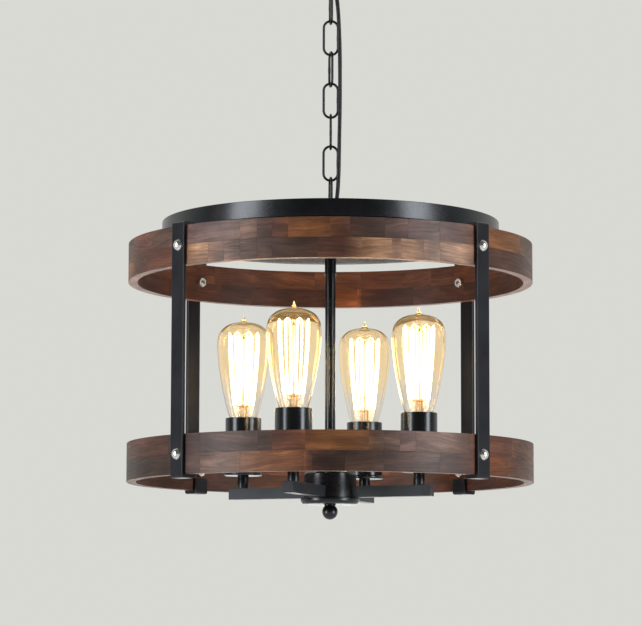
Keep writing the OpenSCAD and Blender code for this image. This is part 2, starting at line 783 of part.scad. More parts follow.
module bulb_cap(turn) {
    wall = 1;
    neck = cap_len - 6.3;
    color(BRASS) at_bulb(turn) rotate_extrude() polygon([
        [0, 0], [contact_d / 2, 0], [contact_d / 2, 1.6], [cap_r - 2.2, 5], [cap_r, 7],
        [cap_r, cap_len], [cap_r - wall, cap_len], [cap_r - wall, neck], [0, neck]]);
}

// Squirrel-cage filament on a glass stem
module bulb_filament(turn) {
    strands = 12;
    low = cap_len - 6.3;
    cage_low_z = cap_len + 28;
    cage_top_z = glass_top - 15;
    step = 360 / strands;
    hook_gap = strand_d / 2 + 0.3;
    route = [for (k = [0:strands - 1]) let (
            a = k * step,
            top = [cage_top_r * cos(a), cage_top_r * sin(a), cage_top_z],
            bottom = [cage_low_r * cos(a), cage_low_r * sin(a), cage_low_z])
        each (k % 2 == 0 ? [bottom, top] : [top, bottom])];
    color(GLOW) at_bulb(turn) {
        tube(route, strand_d, 6, [0, 0, 1] + [1, 0, 0]);
        rotate_extrude() polygon([
            [0, low], [9, low], [9, low + 1.5], [5, low + 8], [5, cage_low_z - 10],
            [2, cage_low_z - 4], [1.2, cage_low_z - 3], [1.2, cage_top_z + 2], [0, cage_top_z + 3]]);
        for (k = [0:2:strands - 1]) {
            rotate([0, 90, (k + 0.5) * step]) translate([-cage_top_z, 0, 0])
                cylinder(d = 0.8, h = cage_top_r * cos(step / 2) - hook_gap);
            rotate([0, 90, (k + 1.5) * step]) translate([-cage_low_z, 0, 0])
                cylinder(d = 0.8, h = cage_low_r * cos(step / 2) - hook_gap);
        }
    }
}

ceiling_bracket();
bracket_nipple();
bracket_locknut();
ground_screw();
canopy();
canopy_collar();
canopy_loop();
supply_cord();
chain_link(1);  // chain_link_1
chain_link(2);  // chain_link_2
chain_link(3);  // chain_link_3
chain_link(4);  // chain_link_4
chain_link(5);  // chain_link_5
chain_link(6);  // chain_link_6
chain_link(7);  // chain_link_7
fixture_loop();
fixture_collar();
hanger_nipple();
top_pan();
crossbar();
crossbar_screws();
upper_ring();
lower_ring();
strap(STRAP_TURNS[0]);  // strap_1
strap(STRAP_TURNS[1]);  // strap_2
strap(STRAP_TURNS[2]);  // strap_3
strap(STRAP_TURNS[3]);  // strap_4
strap_bolts();
strap_nuts();
rod_coupling();
centre_rod();
hub_body();
hub_cover();
finial();
arm(ARM_TURNS[0]);  // arm_1
arm(ARM_TURNS[1]);  // arm_2
arm(ARM_TURNS[2]);  // arm_3
arm(ARM_TURNS[3]);  // arm_4
socket_stems();
socket_cup(ARM_TURNS[0]);  // socket_cup_1
socket_cup(ARM_TURNS[1]);  // socket_cup_2
socket_cup(ARM_TURNS[2]);  // socket_cup_3
socket_cup(ARM_TURNS[3]);  // socket_cup_4
lamp_holders();
inner_leads();
bulb_glass(ARM_TURNS[0]);  // bulb_glass_1
bulb_glass(ARM_TURNS[1]);  // bulb_glass_2
bulb_glass(ARM_TURNS[2]);  // bulb_glass_3
bulb_glass(ARM_TURNS[3]);  // bulb_glass_4
bulb_cap(ARM_TURNS[0]);  // bulb_cap_1
bulb_cap(ARM_TURNS[1]);  // bulb_cap_2
bulb_cap(ARM_TURNS[2]);  // bulb_cap_3
bulb_cap(ARM_TURNS[3]);  // bulb_cap_4
bulb_filament(ARM_TURNS[0]);  // bulb_filament_1
bulb_filament(ARM_TURNS[1]);  // bulb_filament_2
bulb_filament(ARM_TURNS[2]);  // bulb_filament_3
bulb_filament(ARM_TURNS[3]);  // bulb_filament_4
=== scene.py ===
"""Wood drum pendant light: four drop-shaped bulbs inside two stained wood rings, hung on a chain."""

import logging
import math
import random
from dataclasses import dataclass, field
from enum import Enum
from typing import Callable, Iterable, Sequence

import bmesh
import bpy
from mathutils import Matrix, Vector

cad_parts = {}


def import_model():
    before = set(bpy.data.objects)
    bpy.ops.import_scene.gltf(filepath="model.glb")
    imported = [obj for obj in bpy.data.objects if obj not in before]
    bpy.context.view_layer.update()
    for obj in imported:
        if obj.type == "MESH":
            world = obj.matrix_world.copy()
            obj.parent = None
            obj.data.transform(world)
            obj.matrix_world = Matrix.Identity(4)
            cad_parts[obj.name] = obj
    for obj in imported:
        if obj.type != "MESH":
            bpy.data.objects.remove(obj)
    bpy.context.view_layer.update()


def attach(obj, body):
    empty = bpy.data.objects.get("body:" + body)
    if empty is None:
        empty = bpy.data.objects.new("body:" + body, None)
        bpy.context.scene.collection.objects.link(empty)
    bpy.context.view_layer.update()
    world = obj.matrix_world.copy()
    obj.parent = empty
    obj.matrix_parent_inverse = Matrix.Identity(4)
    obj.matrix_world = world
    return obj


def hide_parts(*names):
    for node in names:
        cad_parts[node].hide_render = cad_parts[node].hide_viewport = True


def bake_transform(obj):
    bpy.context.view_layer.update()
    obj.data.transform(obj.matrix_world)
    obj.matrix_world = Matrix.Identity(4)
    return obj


LOG = logging.getLogger("pendant")
MM = 0.001
FULL_TURN = 2 * math.pi

# What values are made of; a band is a value's range and what its two ends become
Point = tuple[float, float, float]
Flat = tuple[float, float]
Rgb = tuple[float, float, float]
Band = tuple[float, float, float, float]
Socket = bpy.types.NodeSocket
Inputs = dict[str | int, object]

# Heights in millimetres below the ceiling, as the part's source works them out
CANOPY_BOTTOM = -26.0
CANOPY_LOOP_SEAT = -30.5
TOP_LINK = -81.75
LINK_PITCH = 38.2
FIXTURE_LOOP_SEAT = -362.2
PAN_FLOOR = -366.7
BAR_TOP = -368.2
UPPER_RING_TOP = -373.2
RING_HEIGHT = 45.4
LOWER_RING_TOP = -609.8
COUPLING_BOTTOM = -407.2
HUB_TOP = -642.2
ARM_TOP = -659.4
COVER_TOP = -672.6
COVER_BOTTOM = -680.2
CUP_BOTTOM = -644.2
CONTACT = -609.2

# Counts, radii and turns that several sub-assemblies share
LINK_COUNT = 7
RING_OUTER = 240.0
RING_INNER = 229.0
SOCKET_RADIUS = 112.0
NIPPLE_BORE = 3.5
NIPPLE_HOLE = 5.2
ARM_TURNS = (158, 248, 68, -22)
STRAP_TURNS = (45, 135, 225, 315)
RING_MIDDLES = (-395.9, -632.5)
ARM_SIZE = 13.2

# The round thread of a lamp's screw, and how many points draw one turn of it
SCREW_PITCH = 3.6
SCREW_DEPTH = 0.9
SCREW_STEPS = 8

# The steepest turn in degrees that is shaded smooth on an eased piece
EASED_ANGLE = 40.0

# The mesh layers that carry the wood's stain, with painted light and shade on inner walls and undersides, and
# its grain, and the values that a noise usually takes
STAIN_AND_LIGHT_LAYER = "tone"
GRAIN_LAYER = "grain"
NOISE_RANGE = (0.3, 0.7)


# The bench: how pieces are drawn, turned, cut, joined and copied


class Pick(Enum):
    """What a selection takes: points, edges or faces."""

    VERTS = (True, False, False)
    EDGES = (False, True, False)
    FACES = (False, False, True)


@dataclass(frozen=True)
class Corner:
    """One corner of a turned or sawn outline, with the radius that rounds it off."""

    across: float
    height: float
    fillet: float = 0.0


def begin() -> None:
    """Leave edit mode and deselect everything."""
    if bpy.context.mode != "OBJECT":
        bpy.ops.object.mode_set(mode="OBJECT")
    bpy.ops.object.select_all(action="DESELECT")


def hold(piece: bpy.types.Object) -> None:
    """Make one piece the only selected one, and the active one.

    Args:
        piece: The piece to work on.
    """
    begin()
    piece.select_set(True)
    bpy.context.view_layer.objects.active = piece


def open_mesh(piece: bpy.types.Object) -> None:
    """Take a piece into edit mode with nothing selected.

    Args:
        piece: The piece to work on.
    """
    hold(piece)
    bpy.ops.object.mode_set(mode="EDIT")
    bpy.ops.mesh.select_all(action="DESELECT")


def pick(piece: bpy.types.Object, kind: Pick, test: Callable[[Vector], bool]) -> None:
    """Select what lies where the test says, in edit mode.

    Args:
        piece: The piece in edit mode.
        kind: Points, edges or faces.
        test: Takes the middle of one of them in millimetres, and says whether to take it.
    """
    bpy.context.tool_settings.mesh_select_mode = kind.value
    bpy.ops.mesh.select_all(action="DESELECT")
    mesh = bmesh.from_edit_mesh(piece.data)
    if kind is Pick.VERTS:
        middles = [(item, item.co) for item in mesh.verts]
    elif kind is Pick.EDGES:
        middles = [(item, (item.verts[0].co + item.verts[1].co) / 2) for item in mesh.edges]
    else:
        middles = [(item, item.calc_center_median()) for item in mesh.faces]
    for item, middle in middles:
        if test(middle / MM):
            item.select_set(True)
    mesh.select_flush_mode()
    bmesh.update_edit_mesh(piece.data)


def soften(corners: Sequence[Corner], closed: bool = True, steps: int = 5) -> list[Flat]:
    """Round the corners of an outline.

    Args:
        corners: The outline's corners in order.
        closed: Whether the last corner joins the first.
        steps: How many pieces each rounding has.

    Returns:
        The outline's points.
    """
    points: list[Flat] = []
    count = len(corners)
    for index, corner in enumerate(corners):
        here = Vector((corner.across, corner.height))
        if corner.fillet <= 0 or (not closed and index in (0, count - 1)):
            points.append((here.x, here.y))
            continue
        before, after = corners[index - 1], corners[(index + 1) % count]
        back = (Vector((before.across, before.height)) - here).normalized()
        ahead = (Vector((after.across, after.height)) - here).normalized()
        half = back.angle(ahead) / 2
        reach = corner.fillet / math.tan(half)
        centre = here + (back + ahead).normalized() * (corner.fillet / math.sin(half))
        first = (here + back * reach - centre).normalized()
        last = (here + ahead * reach - centre).normalized()
        sweep = first.angle(last)
        for step in range(steps + 1):
            share = step / steps
            turn = (first * math.sin((1 - share) * sweep) + last * math.sin(share * sweep)) / math.sin(sweep)
            spot = centre + turn * corner.fillet
            points.append((spot.x, spot.y))
    return points


def start_chain(name: str, points: Sequence[Point]) -> bpy.types.Object:
    """Draw a chain of edges through points, by extruding one corner of a plane. It stays in edit mode.

    Args:
        name: The new piece's name.
        points: The points in millimetres.

    Returns:
        The new piece, with the whole chain selected.
    """
    begin()
    bpy.ops.mesh.primitive_plane_add(size=MM)
    piece = bpy.context.object
    piece.name = name
    piece.data.name = name
    open_mesh(piece)
    bpy.context.tool_settings.mesh_select_mode = Pick.VERTS.value
    mesh = bmesh.from_edit_mesh(piece.data)
    mesh.verts.ensure_lookup_table()
    for vert in mesh.verts[1:]:
        vert.select_set(True)
    mesh.select_flush_mode()
    bpy.ops.mesh.delete(type="VERT")
    mesh = bmesh.from_edit_mesh(piece.data)
    mesh.verts.ensure_lookup_table()
    mesh.verts[0].co = Vector(points[0]) * MM
    mesh.verts[0].select_set(True)
    bmesh.update_edit_mesh(piece.data)
    for before, after in zip(points, points[1:]):
        step = (Vector(after) - Vector(before)) * MM
        bpy.ops.mesh.extrude_region_move(TRANSFORM_OT_translate={"value": tuple(step)})
    bpy.ops.mesh.select_all(action="SELECT")
    return piece


def tidy_mesh(piece: bpy.types.Object, angle: float = 35.0) -> bpy.types.Object:
    """Merge doubles, turn the faces outward and shade smooth below an angle.

    Args:
        piece: The piece to finish.
        angle: The steepest turn between smooth faces, in degrees.

    Returns:
        The same piece.
    """
    open_mesh(piece)
    bpy.ops.mesh.select_all(action="SELECT")
    bpy.ops.mesh.remove_doubles(threshold=1e-6)
    bpy.ops.mesh.normals_make_consistent(inside=False)
    hold(piece)
    bpy.ops.object.shade_smooth_by_angle(angle=math.radians(angle))
    return piece


def lathe(name: str, profile: Sequence[Flat], steps: int = 64, closed: bool = True,
          angle: float = 35.0) -> bpy.types.Object:
    """Turn a profile about the vertical axis.

    Args:
        name: The new piece's name.
        profile: Radius and height of each point in millimetres.
        steps: How many parts the turn has.
        closed: Whether the profile's last point joins its first; if not, both lie on the axis.
        angle: The steepest turn between smooth faces, in degrees.

    Returns:
        The turned piece.
    """
    ring = list(profile) + ([profile[0]] if closed else [])
    piece = start_chain(name, [(radius, 0.0, height) for radius, height in ring])
    bpy.ops.mesh.spin(steps=steps, angle=FULL_TURN, center=(0, 0, 0), axis=(0, 0, 1))
    return tidy_mesh(piece, angle)


def turned(name: str, corners: Sequence[Corner], steps: int = 64, closed: bool = True) -> bpy.types.Object:
    """Turn an outline whose corners are rounded.

    Args:
        name: The new piece's name.
        corners: The outline's corners.
        steps: How many parts the turn has.
        closed: Whether the last corner joins the first.

    Returns:
        The turned piece.
    """
    return lathe(name, soften(corners, closed), steps, closed)


def slab(name: str, outline: Sequence[Point], rise: Point) -> bpy.types.Object:
    """Fill an outline with a face and extrude it.

    Args:
        name: The new piece's name.
        outline: The outline's points in millimetres, all in one plane.
        rise: How far the face is extruded.

    Returns:
        The slab.
    """
    piece = start_chain(name, list(outline) + [outline[0]])
    bpy.ops.mesh.remove_doubles(threshold=1e-6)
    bpy.ops.mesh.select_all(action="SELECT")
    bpy.ops.mesh.edge_face_add()
    bpy.ops.mesh.extrude_region_move(TRANSFORM_OT_translate={"value": tuple(Vector(rise) * MM)})
    return tidy_mesh(piece)


def slice_at(piece: bpy.types.Object, cuts: Iterable[tuple[Point, Point]]) -> None:
    """Cut a piece's faces along planes, so that each is a plain convex one.

    Args:
        piece: The piece to cut.
        cuts: A point and a normal of each plane, in millimetres.
    """
    open_mesh(piece)
    for point, normal in cuts:
        bpy.ops.mesh.select_all(action="SELECT")
        bpy.ops.mesh.bisect(plane_co=tuple(Vector(point) * MM), plane_no=normal)
    hold(piece)


def block(name: str, low: Point, high: Point) -> bpy.types.Object:
    """Start a piece from a box between two corners.

    Args:
        name: The new piece's name.
        low: The lowest corner in millimetres.
        high: The highest corner in millimetres.

    Returns:
        The box, ready to be shaped.
    """
    begin()
    middle = (Vector(low) + Vector(high)) / 2 * MM
    size = (Vector(high) - Vector(low)) * MM
    bpy.ops.mesh.primitive_cube_add(size=1, location=middle, scale=size)
    piece = bpy.context.object
    piece.name = name
    piece.data.name = name
    settle(piece)
    return piece


def settle(piece: bpy.types.Object, place: Matrix | None = None) -> bpy.types.Object:
    """Put a piece in its place and bake that into its mesh.

    Args:
        piece: The piece to place.
        place: Where it goes, in metres, or nothing to keep it where it stands.

    Returns:
        The same piece, with its object at the origin.
    """
    if place is not None:
        piece.matrix_world = place @ piece.matrix_world
    hold(piece)
    bpy.ops.object.transform_apply(location=True, rotation=True, scale=True)
    return piece


def modify(piece: bpy.types.Object, kind: str, **settings: object) -> None:
    """Add a modifier and apply it.

    Args:
        piece: The piece to change.
        kind: The modifier's type.
        **settings: The modifier's settings by name.
    """
    hold(piece)
    modifier = piece.modifiers.new(kind.title(), kind)
    for name, value in settings.items():
        setattr(modifier, name, value)
    bpy.ops.object.modifier_apply(modifier=modifier.name)


def ease(piece: bpy.types.Object, width: float, segments: int = 2, angle: float = 35.0) -> bpy.types.Object:
    """Round a piece's sharp edges.

    Args:
        piece: The piece to change.
        width: The rounding's width in millimetres.
        segments: How many strips it has.
        angle: The least sharp edge that is rounded, in degrees.

    Returns:
        The same piece.
    """
    modify(piece, "BEVEL", width=width * MM, segments=segments, limit_method="ANGLE",
           angle_limit=math.radians(angle), use_clamp_overlap=True)
    hold(piece)
    bpy.ops.object.shade_smooth_by_angle(angle=math.radians(EASED_ANGLE))
    return piece


def combine(piece: bpy.types.Object, tool: bpy.types.Object, operation: str) -> None:
    """Cut, join or intersect a piece with another, which is used up.

    Args:
        piece: The piece to change.
        tool: The other solid.
        operation: DIFFERENCE, UNION or INTERSECT.
    """
    modify(piece, "BOOLEAN", object=tool, operation=operation, solver="EXACT")
    bpy.data.objects.remove(tool, do_unlink=True)


def join(name: str, parts: Sequence[bpy.types.Object]) -> bpy.types.Object:
    """Join parts into one piece.

    Args:
        name: The joined piece's name.
        parts: The parts, which are used up.

    Returns:
        The joined piece.
    """
    begin()
    for part in parts:
        part.select_set(True)
    bpy.context.view_layer.objects.active = parts[0]
    if len(parts) > 1:
        bpy.ops.object.join()
    parts[0].name = name
    parts[0].data.name = name
    return parts[0]


def copy_of(piece: bpy.types.Object, name: str, place: Matrix) -> bpy.types.Object:
    """Copy a piece with a mesh of its own.

    Args:
        piece: The piece to copy.
        name: The copy's name.
        place: Where the copy goes, in metres.

    Returns:
        The copy, with its object at the origin.
    """
    double = piece.copy()
    double.data = piece.data.copy()
    double.name = name
    double.data.name = name
    bpy.context.scene.collection.objects.link(double)
    return settle(double, place)


def stand(turn: float, out: float = 0.0, height: float = 0.0) -> Matrix:
    """Say where a piece modelled on the axis goes.

    Args:
        turn: Its direction in degrees, turned from +X.
        out: How far from the axis it stands, in millimetres.
        height: How high it stands, in millimetres.

    Returns:
        The place, in metres.
    """
    return Matrix.Rotation(math.radians(turn), 4, "Z") @ Matrix.Translation((out * MM, 0, height * MM))


def polar(turn: float, radius: float, height: float) -> Point:
    """Give the point at a direction in degrees, a distance from the axis and a height."""
    return radius * math.cos(math.radians(turn)), radius * math.sin(math.radians(turn)), height


def round_thread(core: float, start: float, turns: int, way: int) -> list[Flat]:
    """Draw the round thread of a lamp's screw.

    Args:
        core: Its smallest radius.
        start: The height at which it starts.
        turns: How many turns it has.
        way: 1 to draw it upward, -1 to draw it downward.

    Returns:
        Radius and height of its points.
    """
    swell = SCREW_DEPTH / 2
    points: list[Flat] = []
    for step in range(turns * SCREW_STEPS):
        share = step / SCREW_STEPS
        points.append((core + swell * (1 - math.cos(FULL_TURN * share)), start + way * SCREW_PITCH * share))
    return points


# The finishes: one node graph for each paint, metal, wood, glass and glow


def linear(red: float, green: float, blue: float) -> Rgb:
    """Turn a colour written in 0 to 255 steps into light values.

    Args:
        red: The red step.
        green: The green step.
        blue: The blue step.

    Returns:
        The three light values.
    """
    def one(step: float) -> float:
        """Turn one channel into its light value."""
        share = step / 255
        return share / 12.92 if share <= 0.04045 else ((share + 0.055) / 1.055) ** 2.4
    return one(red), one(green), one(blue)


class Graph:
    """The nodes of one material, added in order and linked by their sockets' names."""

    def __init__(self, name: str) -> None:
        """Start a material.

        Args:
            name: The material's name.
        """
        self.material = bpy.data.materials.new(name)
        self.material.use_nodes = True
        self.nodes = self.material.node_tree.nodes
        self.links = self.material.node_tree.links
        self.shader = self.nodes["Principled BSDF"]
        self.output = self.nodes["Material Output"]
        self.place = self.nodes.new("ShaderNodeTexCoord").outputs["Object"]

    def put(self, node: bpy.types.Node, inputs: Inputs) -> bpy.types.Node:
        """Set or link a node's inputs.

        Args:
            node: The node.
            inputs: Values or sockets by input name or number.

        Returns:
            The same node.
        """
        for key, value in inputs.items():
            socket = node.inputs[key]
            if isinstance(value, Socket):
                self.links.new(value, socket)
            elif socket.type == "RGBA":
                socket.default_value = (*value, 1.0)
            else:
                socket.default_value = value
        return node

    def add(self, kind: str, inputs: Inputs | None = None, **settings: object) -> bpy.types.Node:
        """Add a node.

        Args:
            kind: The node's type, without its prefix.
            inputs: Values or sockets by input name or number.
            **settings: The node's own settings.

        Returns:
            The node.
        """
        node = self.nodes.new("ShaderNode" + kind)
        for name, value in settings.items():
            setattr(node, name, value)
        return self.put(node, inputs or {})

    def stretched(self, source: Socket, scale: Point) -> Socket:
        """Scale coordinates by axis.

        Args:
            source: The coordinates.
            scale: The scale of each axis.

        Returns:
            The scaled coordinates.
        """
        return self.add("Mapping", {"Vector": source, "Scale": scale}).outputs["Vector"]

    def noise(self, source: Socket, scale: float, detail: float = 3.0, rough: float = 0.55) -> Socket:
        """Add a noise.

        Args:
            source: The coordinates.
            scale: How fine it is, per metre.
            detail: How many finer layers it has.
            rough: How strong these are.

        Returns:
            The noise's value.
        """
        return self.add("TexNoise", {"Vector": source, "Scale": scale, "Detail": detail,
                                     "Roughness": rough}).outputs["Fac"]

    def span(self, value: Socket, low: float, high: float, to_low: float, to_high: float) -> Socket:
        """Map a value from one range to another.

        Args:
            value: The value.
            low: The range's start.
            high: The range's end.
            to_low: What its start becomes.
            to_high: What its end becomes.

        Returns:
            The mapped value.
        """
        return self.add("MapRange", {"Value": value, "From Min": low, "From Max": high,
                                     "To Min": to_low, "To Max": to_high}).outputs["Result"]

    def usual(self, noise: Socket, low: float, high: float) -> Socket:
        """Map the values that a noise usually takes to a range.

        Args:
            noise: The noise's value.
            low: What its usual low becomes.
            high: What its usual high becomes.

        Returns:
            The mapped value.
        """
        return self.span(noise, *NOISE_RANGE, low, high)

    def blend(self, share: object, first: object, second: object, how: str = "MIX") -> Socket:
        """Mix two colours.

        Args:
            share: How much of the second shows.
            first: The first colour.
            second: The second colour.
            how: The way they mix.

        Returns:
            The mixed colour.
        """
        node = self.add("Mix", data_type="RGBA", blend_type=how)
        return self.put(node, {0: share, 6: first, 7: second}).outputs[2]

    def wash(self, colour: Socket, source: Socket, share: Socket, tint: Rgb) -> Socket:
        """Lay a tinted copy of one colour over another.

        Args:
            colour: The colour below.
            source: The colour that is tinted.
            share: How much of the tinted one shows.
            tint: What the source is multiplied by.

        Returns:
            The washed colour.
        """
        return self.blend(share, colour, self.blend(1.0, source, tint, "MULTIPLY"))

    def sum(self, how: str, first: object, second: object) -> Socket:
        """Work out one sum.

        Args:
            how: The sum's kind, such as ADD.
            first: Its first value.
            second: Its second value.

        Returns:
            The result.
        """
        return self.add("Math", {0: first, 1: second}, operation=how).outputs[0]

    def relief(self, height: Socket, depth: float, strength: float, under: Socket | None = None) -> Socket:
        """Turn a height into a bump.

        Args:
            height: The height, from 0 to 1.
            depth: How deep it is, in millimetres.
            strength: How much of it shows.
            under: A bump below this one.

        Returns:
            The bumped normal.
        """
        inputs: Inputs = {"Height": height, "Distance": depth * MM, "Strength": strength}
        if under is not None:
            inputs["Normal"] = under
        return self.add("Bump", inputs).outputs["Normal"]


@dataclass(frozen=True)
class Paint:
    """A painted, coated or moulded finish with a fine grain, patchy sheen and rubbed spots."""

    name: str
    colour: Rgb
    roughness: float
    grain: float = 0.9
    depth: float = 0.02
    patches: float = 0.25
    metal: float = 0.0
    specular: float = 0.5
    coat: float = 0.0
    coat_roughness: float = 0.2
    shine: Rgb = (0.86, 0.92, 1.0)
    patch_scale: float = 28.0
    patch_sheen: float = 0.04
    grain_sheen: float = 0.03
    relief: float = 0.6

    def make(self) -> bpy.types.Material:
        """Make the material."""
        graph = Graph(self.name)
        broad = graph.noise(graph.place, self.patch_scale, 4)
        fine = graph.noise(graph.place, 1 / (self.grain * MM), 2)
        light = tuple(min(1.0, channel * (1 + self.patches)) for channel in self.colour)
        dark = tuple(channel * (1 - self.patches) for channel in self.colour)
        colour = graph.blend(graph.usual(broad, 0, 1), dark, light)
        sheen = graph.usual(broad, self.roughness - self.patch_sheen, self.roughness + self.patch_sheen)
        sheen = graph.sum("ADD", sheen, graph.usual(fine, -self.grain_sheen, self.grain_sheen))
        graph.put(graph.shader, {
            "Base Color": colour, "Roughness": sheen, "Metallic": self.metal,
            "Specular IOR Level": self.specular, "Specular Tint": self.shine, "Coat Weight": self.coat,
            "Coat Roughness": self.coat_roughness, "Normal": graph.relief(fine, self.depth, self.relief)})
        return graph.material


@dataclass(frozen=True)
class Plated:
    """A plated or brass finish, drawn or turned, with faint stains."""

    name: str
    colour: Rgb
    stain: Rgb
    roughness: float
    scratch: Point = (400.0, 400.0, 2400.0)
    cloud_scale: float = 130.0
    stain_band: Band = (0.45, 0.75, 0.0, 0.55)
    depth: float = 0.006
    relief: float = 0.5

    def make(self) -> bpy.types.Material:
        """Make the material."""
        graph = Graph(self.name)
        cloud = graph.noise(graph.place, self.cloud_scale, 4)
        lines = graph.noise(graph.stretched(graph.place, self.scratch), 1, 2)
        colour = graph.blend(graph.span(cloud, *self.stain_band), self.colour, self.stain)
        sheen = graph.sum("ADD", graph.usual(cloud, self.roughness - 0.05, self.roughness + 0.08),
                          graph.usual(lines, -0.03, 0.04))
        graph.put(graph.shader, {"Base Color": colour, "Metallic": 1.0, "Roughness": sheen,
                                 "Normal": graph.relief(lines, self.depth, self.relief)})
        return graph.material


@dataclass(frozen=True)
class StainedWood:
    """Wood in blocks of many stains, with painted light and shade in the block colours, whose grain follows
    each block's own map.
    """

    name: str
    swirl_scale: Point = (30.0, 60.0, 1.0)
    swirl: float = 0.0035
    streak_scale: Point = (22.0, 420.0, 1.0)
    figure_scale: Point = (16.0, 60.0, 1.0)
    pore_scale: Point = (150.0, 2600.0, 1.0)
    rub_scale: float = 30.0
    dark_figure: Rgb = (0.46, 0.40, 0.38)
    bright_figure: Rgb = (1.65, 1.55, 1.45)
    dark_streak: Rgb = (0.52, 0.45, 0.42)
    bright_streak: Rgb = (1.5, 1.4, 1.3)
    rub: Rgb = (0.62, 0.56, 0.54)
    pit: Rgb = (0.02, 0.012, 0.01)
    dark_figure_band: Band = (0.36, 0.64, 0.85, 0.0)
    bright_figure_band: Band = (0.52, 0.72, 0.0, 0.55)
    dark_streak_band: Band = (0.36, 0.58, 0.7, 0.0)
    bright_streak_band: Band = (0.56, 0.72, 0.0, 0.6)
    rub_band: Band = (0.35, 0.7, 0.5, 0.0)
    pit_band: Band = (0.60, 0.72, 0.0, 1.0)
    pit_share: float = 0.5
    depth: float = 0.10
    relief: float = 0.5
    specular: float = 0.34
    coat: float = 0.09
    coat_roughness: float = 0.32

    def make(self) -> bpy.types.Material:
        """Make the material."""
        graph = Graph(self.name)
        # The block colour: its stain, with painted light and shade on inner walls and a painted highlight on
        # undersides
        tone = graph.add("Attribute", attribute_name=STAIN_AND_LIGHT_LAYER).outputs["Color"]
        grain = graph.add("UVMap", uv_map=GRAIN_LAYER).outputs["UV"]
        swirl = graph.noise(graph.stretched(grain, self.swirl_scale), 1, 2, 0.5)
        sway = graph.add("CombineXYZ", {"Y": graph.span(swirl, 0.0, 1.0, -self.swirl, self.swirl)})
        warped = graph.add("VectorMath", {0: grain, 1: sway.outputs[0]}).outputs[0]
        streaks = graph.noise(graph.stretched(warped, self.streak_scale), 1, 6, 0.60)
        figure = graph.noise(graph.stretched(warped, self.figure_scale), 1, 4, 0.55)
        pores = graph.noise(graph.stretched(grain, self.pore_scale), 1, 2, 0.5)
        pits = graph.span(pores, *self.pit_band)
        rubbed = graph.noise(graph.place, self.rub_scale, 5, 0.6)
        colour = graph.wash(tone, tone, graph.span(figure, *self.dark_figure_band), self.dark_figure)
        colour = graph.wash(colour, tone, graph.span(figure, *self.bright_figure_band), self.bright_figure)
        for band, tint in ((self.dark_streak_band, self.dark_streak),
                           (self.bright_streak_band, self.bright_streak)):
            colour = graph.wash(colour, colour, graph.span(streaks, *band), tint)
        colour = graph.wash(colour, colour, graph.span(rubbed, *self.rub_band), self.rub)
        colour = graph.blend(graph.sum("MULTIPLY", pits, self.pit_share), colour, self.pit)
        sheen = graph.sum("ADD", graph.usual(streaks, 0.56, 0.42), graph.usual(rubbed, -0.05, 0.05))
        bumps = graph.relief(streaks, self.depth, self.relief)
        bumps = graph.relief(graph.sum("SUBTRACT", 1.0, pits), self.depth, self.relief, bumps)
        graph.put(graph.shader, {
            "Base Color": colour, "Roughness": sheen, "Normal": bumps, "Specular IOR Level": self.specular,
            "Coat Weight": self.coat, "Coat Roughness": self.coat_roughness})
        return graph.material


@dataclass(frozen=True)
class BlownGlass:
    """Glass that is clear low down, gilt higher up, and amber where it is seen edge on, with a faint painted
    glow on the gilt part where one is given.
    """

    name: str
    tint: Rgb
    density: float
    roughness: float
    wave: float
    gilt: Rgb = (1.0, 1.0, 1.0)
    clear_below: float = -552.0
    gilt_above: float = -525.0
    # A faint painted glow, standing in for filament light scattered in the glass, and its strength
    painted_glow_colour: Rgb = (1.0, 0.72, 0.30)
    painted_glow_strength: float = 0.0
    index: float = 1.5
    swell_scale: float = 45.0
    relief: float = 0.4

    def make(self) -> bpy.types.Material:
        """Make the material."""
        graph = Graph(self.name)
        swell = graph.noise(graph.place, self.swell_scale, 2)
        height = graph.add("SeparateXYZ", {0: graph.place}).outputs["Z"]
        share = graph.span(height, self.clear_below * MM, self.gilt_above * MM, 0, 1)
        graph.put(graph.shader, {
            "Base Color": graph.blend(share, (1.0, 1.0, 1.0), self.gilt), "Roughness": self.roughness,
            "IOR": self.index, "Transmission Weight": 1.0, "Emission Color": self.painted_glow_colour,
            "Normal": graph.relief(swell, self.wave, self.relief),
            "Emission Strength": graph.sum("MULTIPLY", share, self.painted_glow_strength)})
        body = graph.add("VolumeAbsorption", {"Color": self.tint, "Density": self.density})
        graph.links.new(body.outputs["Volume"], graph.output.inputs["Volume"])
        return graph.material


@dataclass(frozen=True)
class Glowing:
    """A filament at full heat, a little cooler in spots."""

    name: str
    colour: Rgb
    strength: float
    swing: float = 0.15
    spot_scale: float = 160.0
    cold: Rgb = (0.3, 0.2, 0.1)
    roughness: float = 0.6

    def make(self) -> bpy.types.Material:
        """Make the material."""
        graph = Graph(self.name)
        heat = graph.noise(graph.place, self.spot_scale, 2)
        low, high = self.strength * (1 - self.swing), self.strength * (1 + self.swing)
        graph.put(graph.shader, {
            "Base Color": self.cold, "Roughness": self.roughness, "Emission Color": self.colour,
            "Emission Strength": graph.usual(heat, low, high)})
        return graph.material


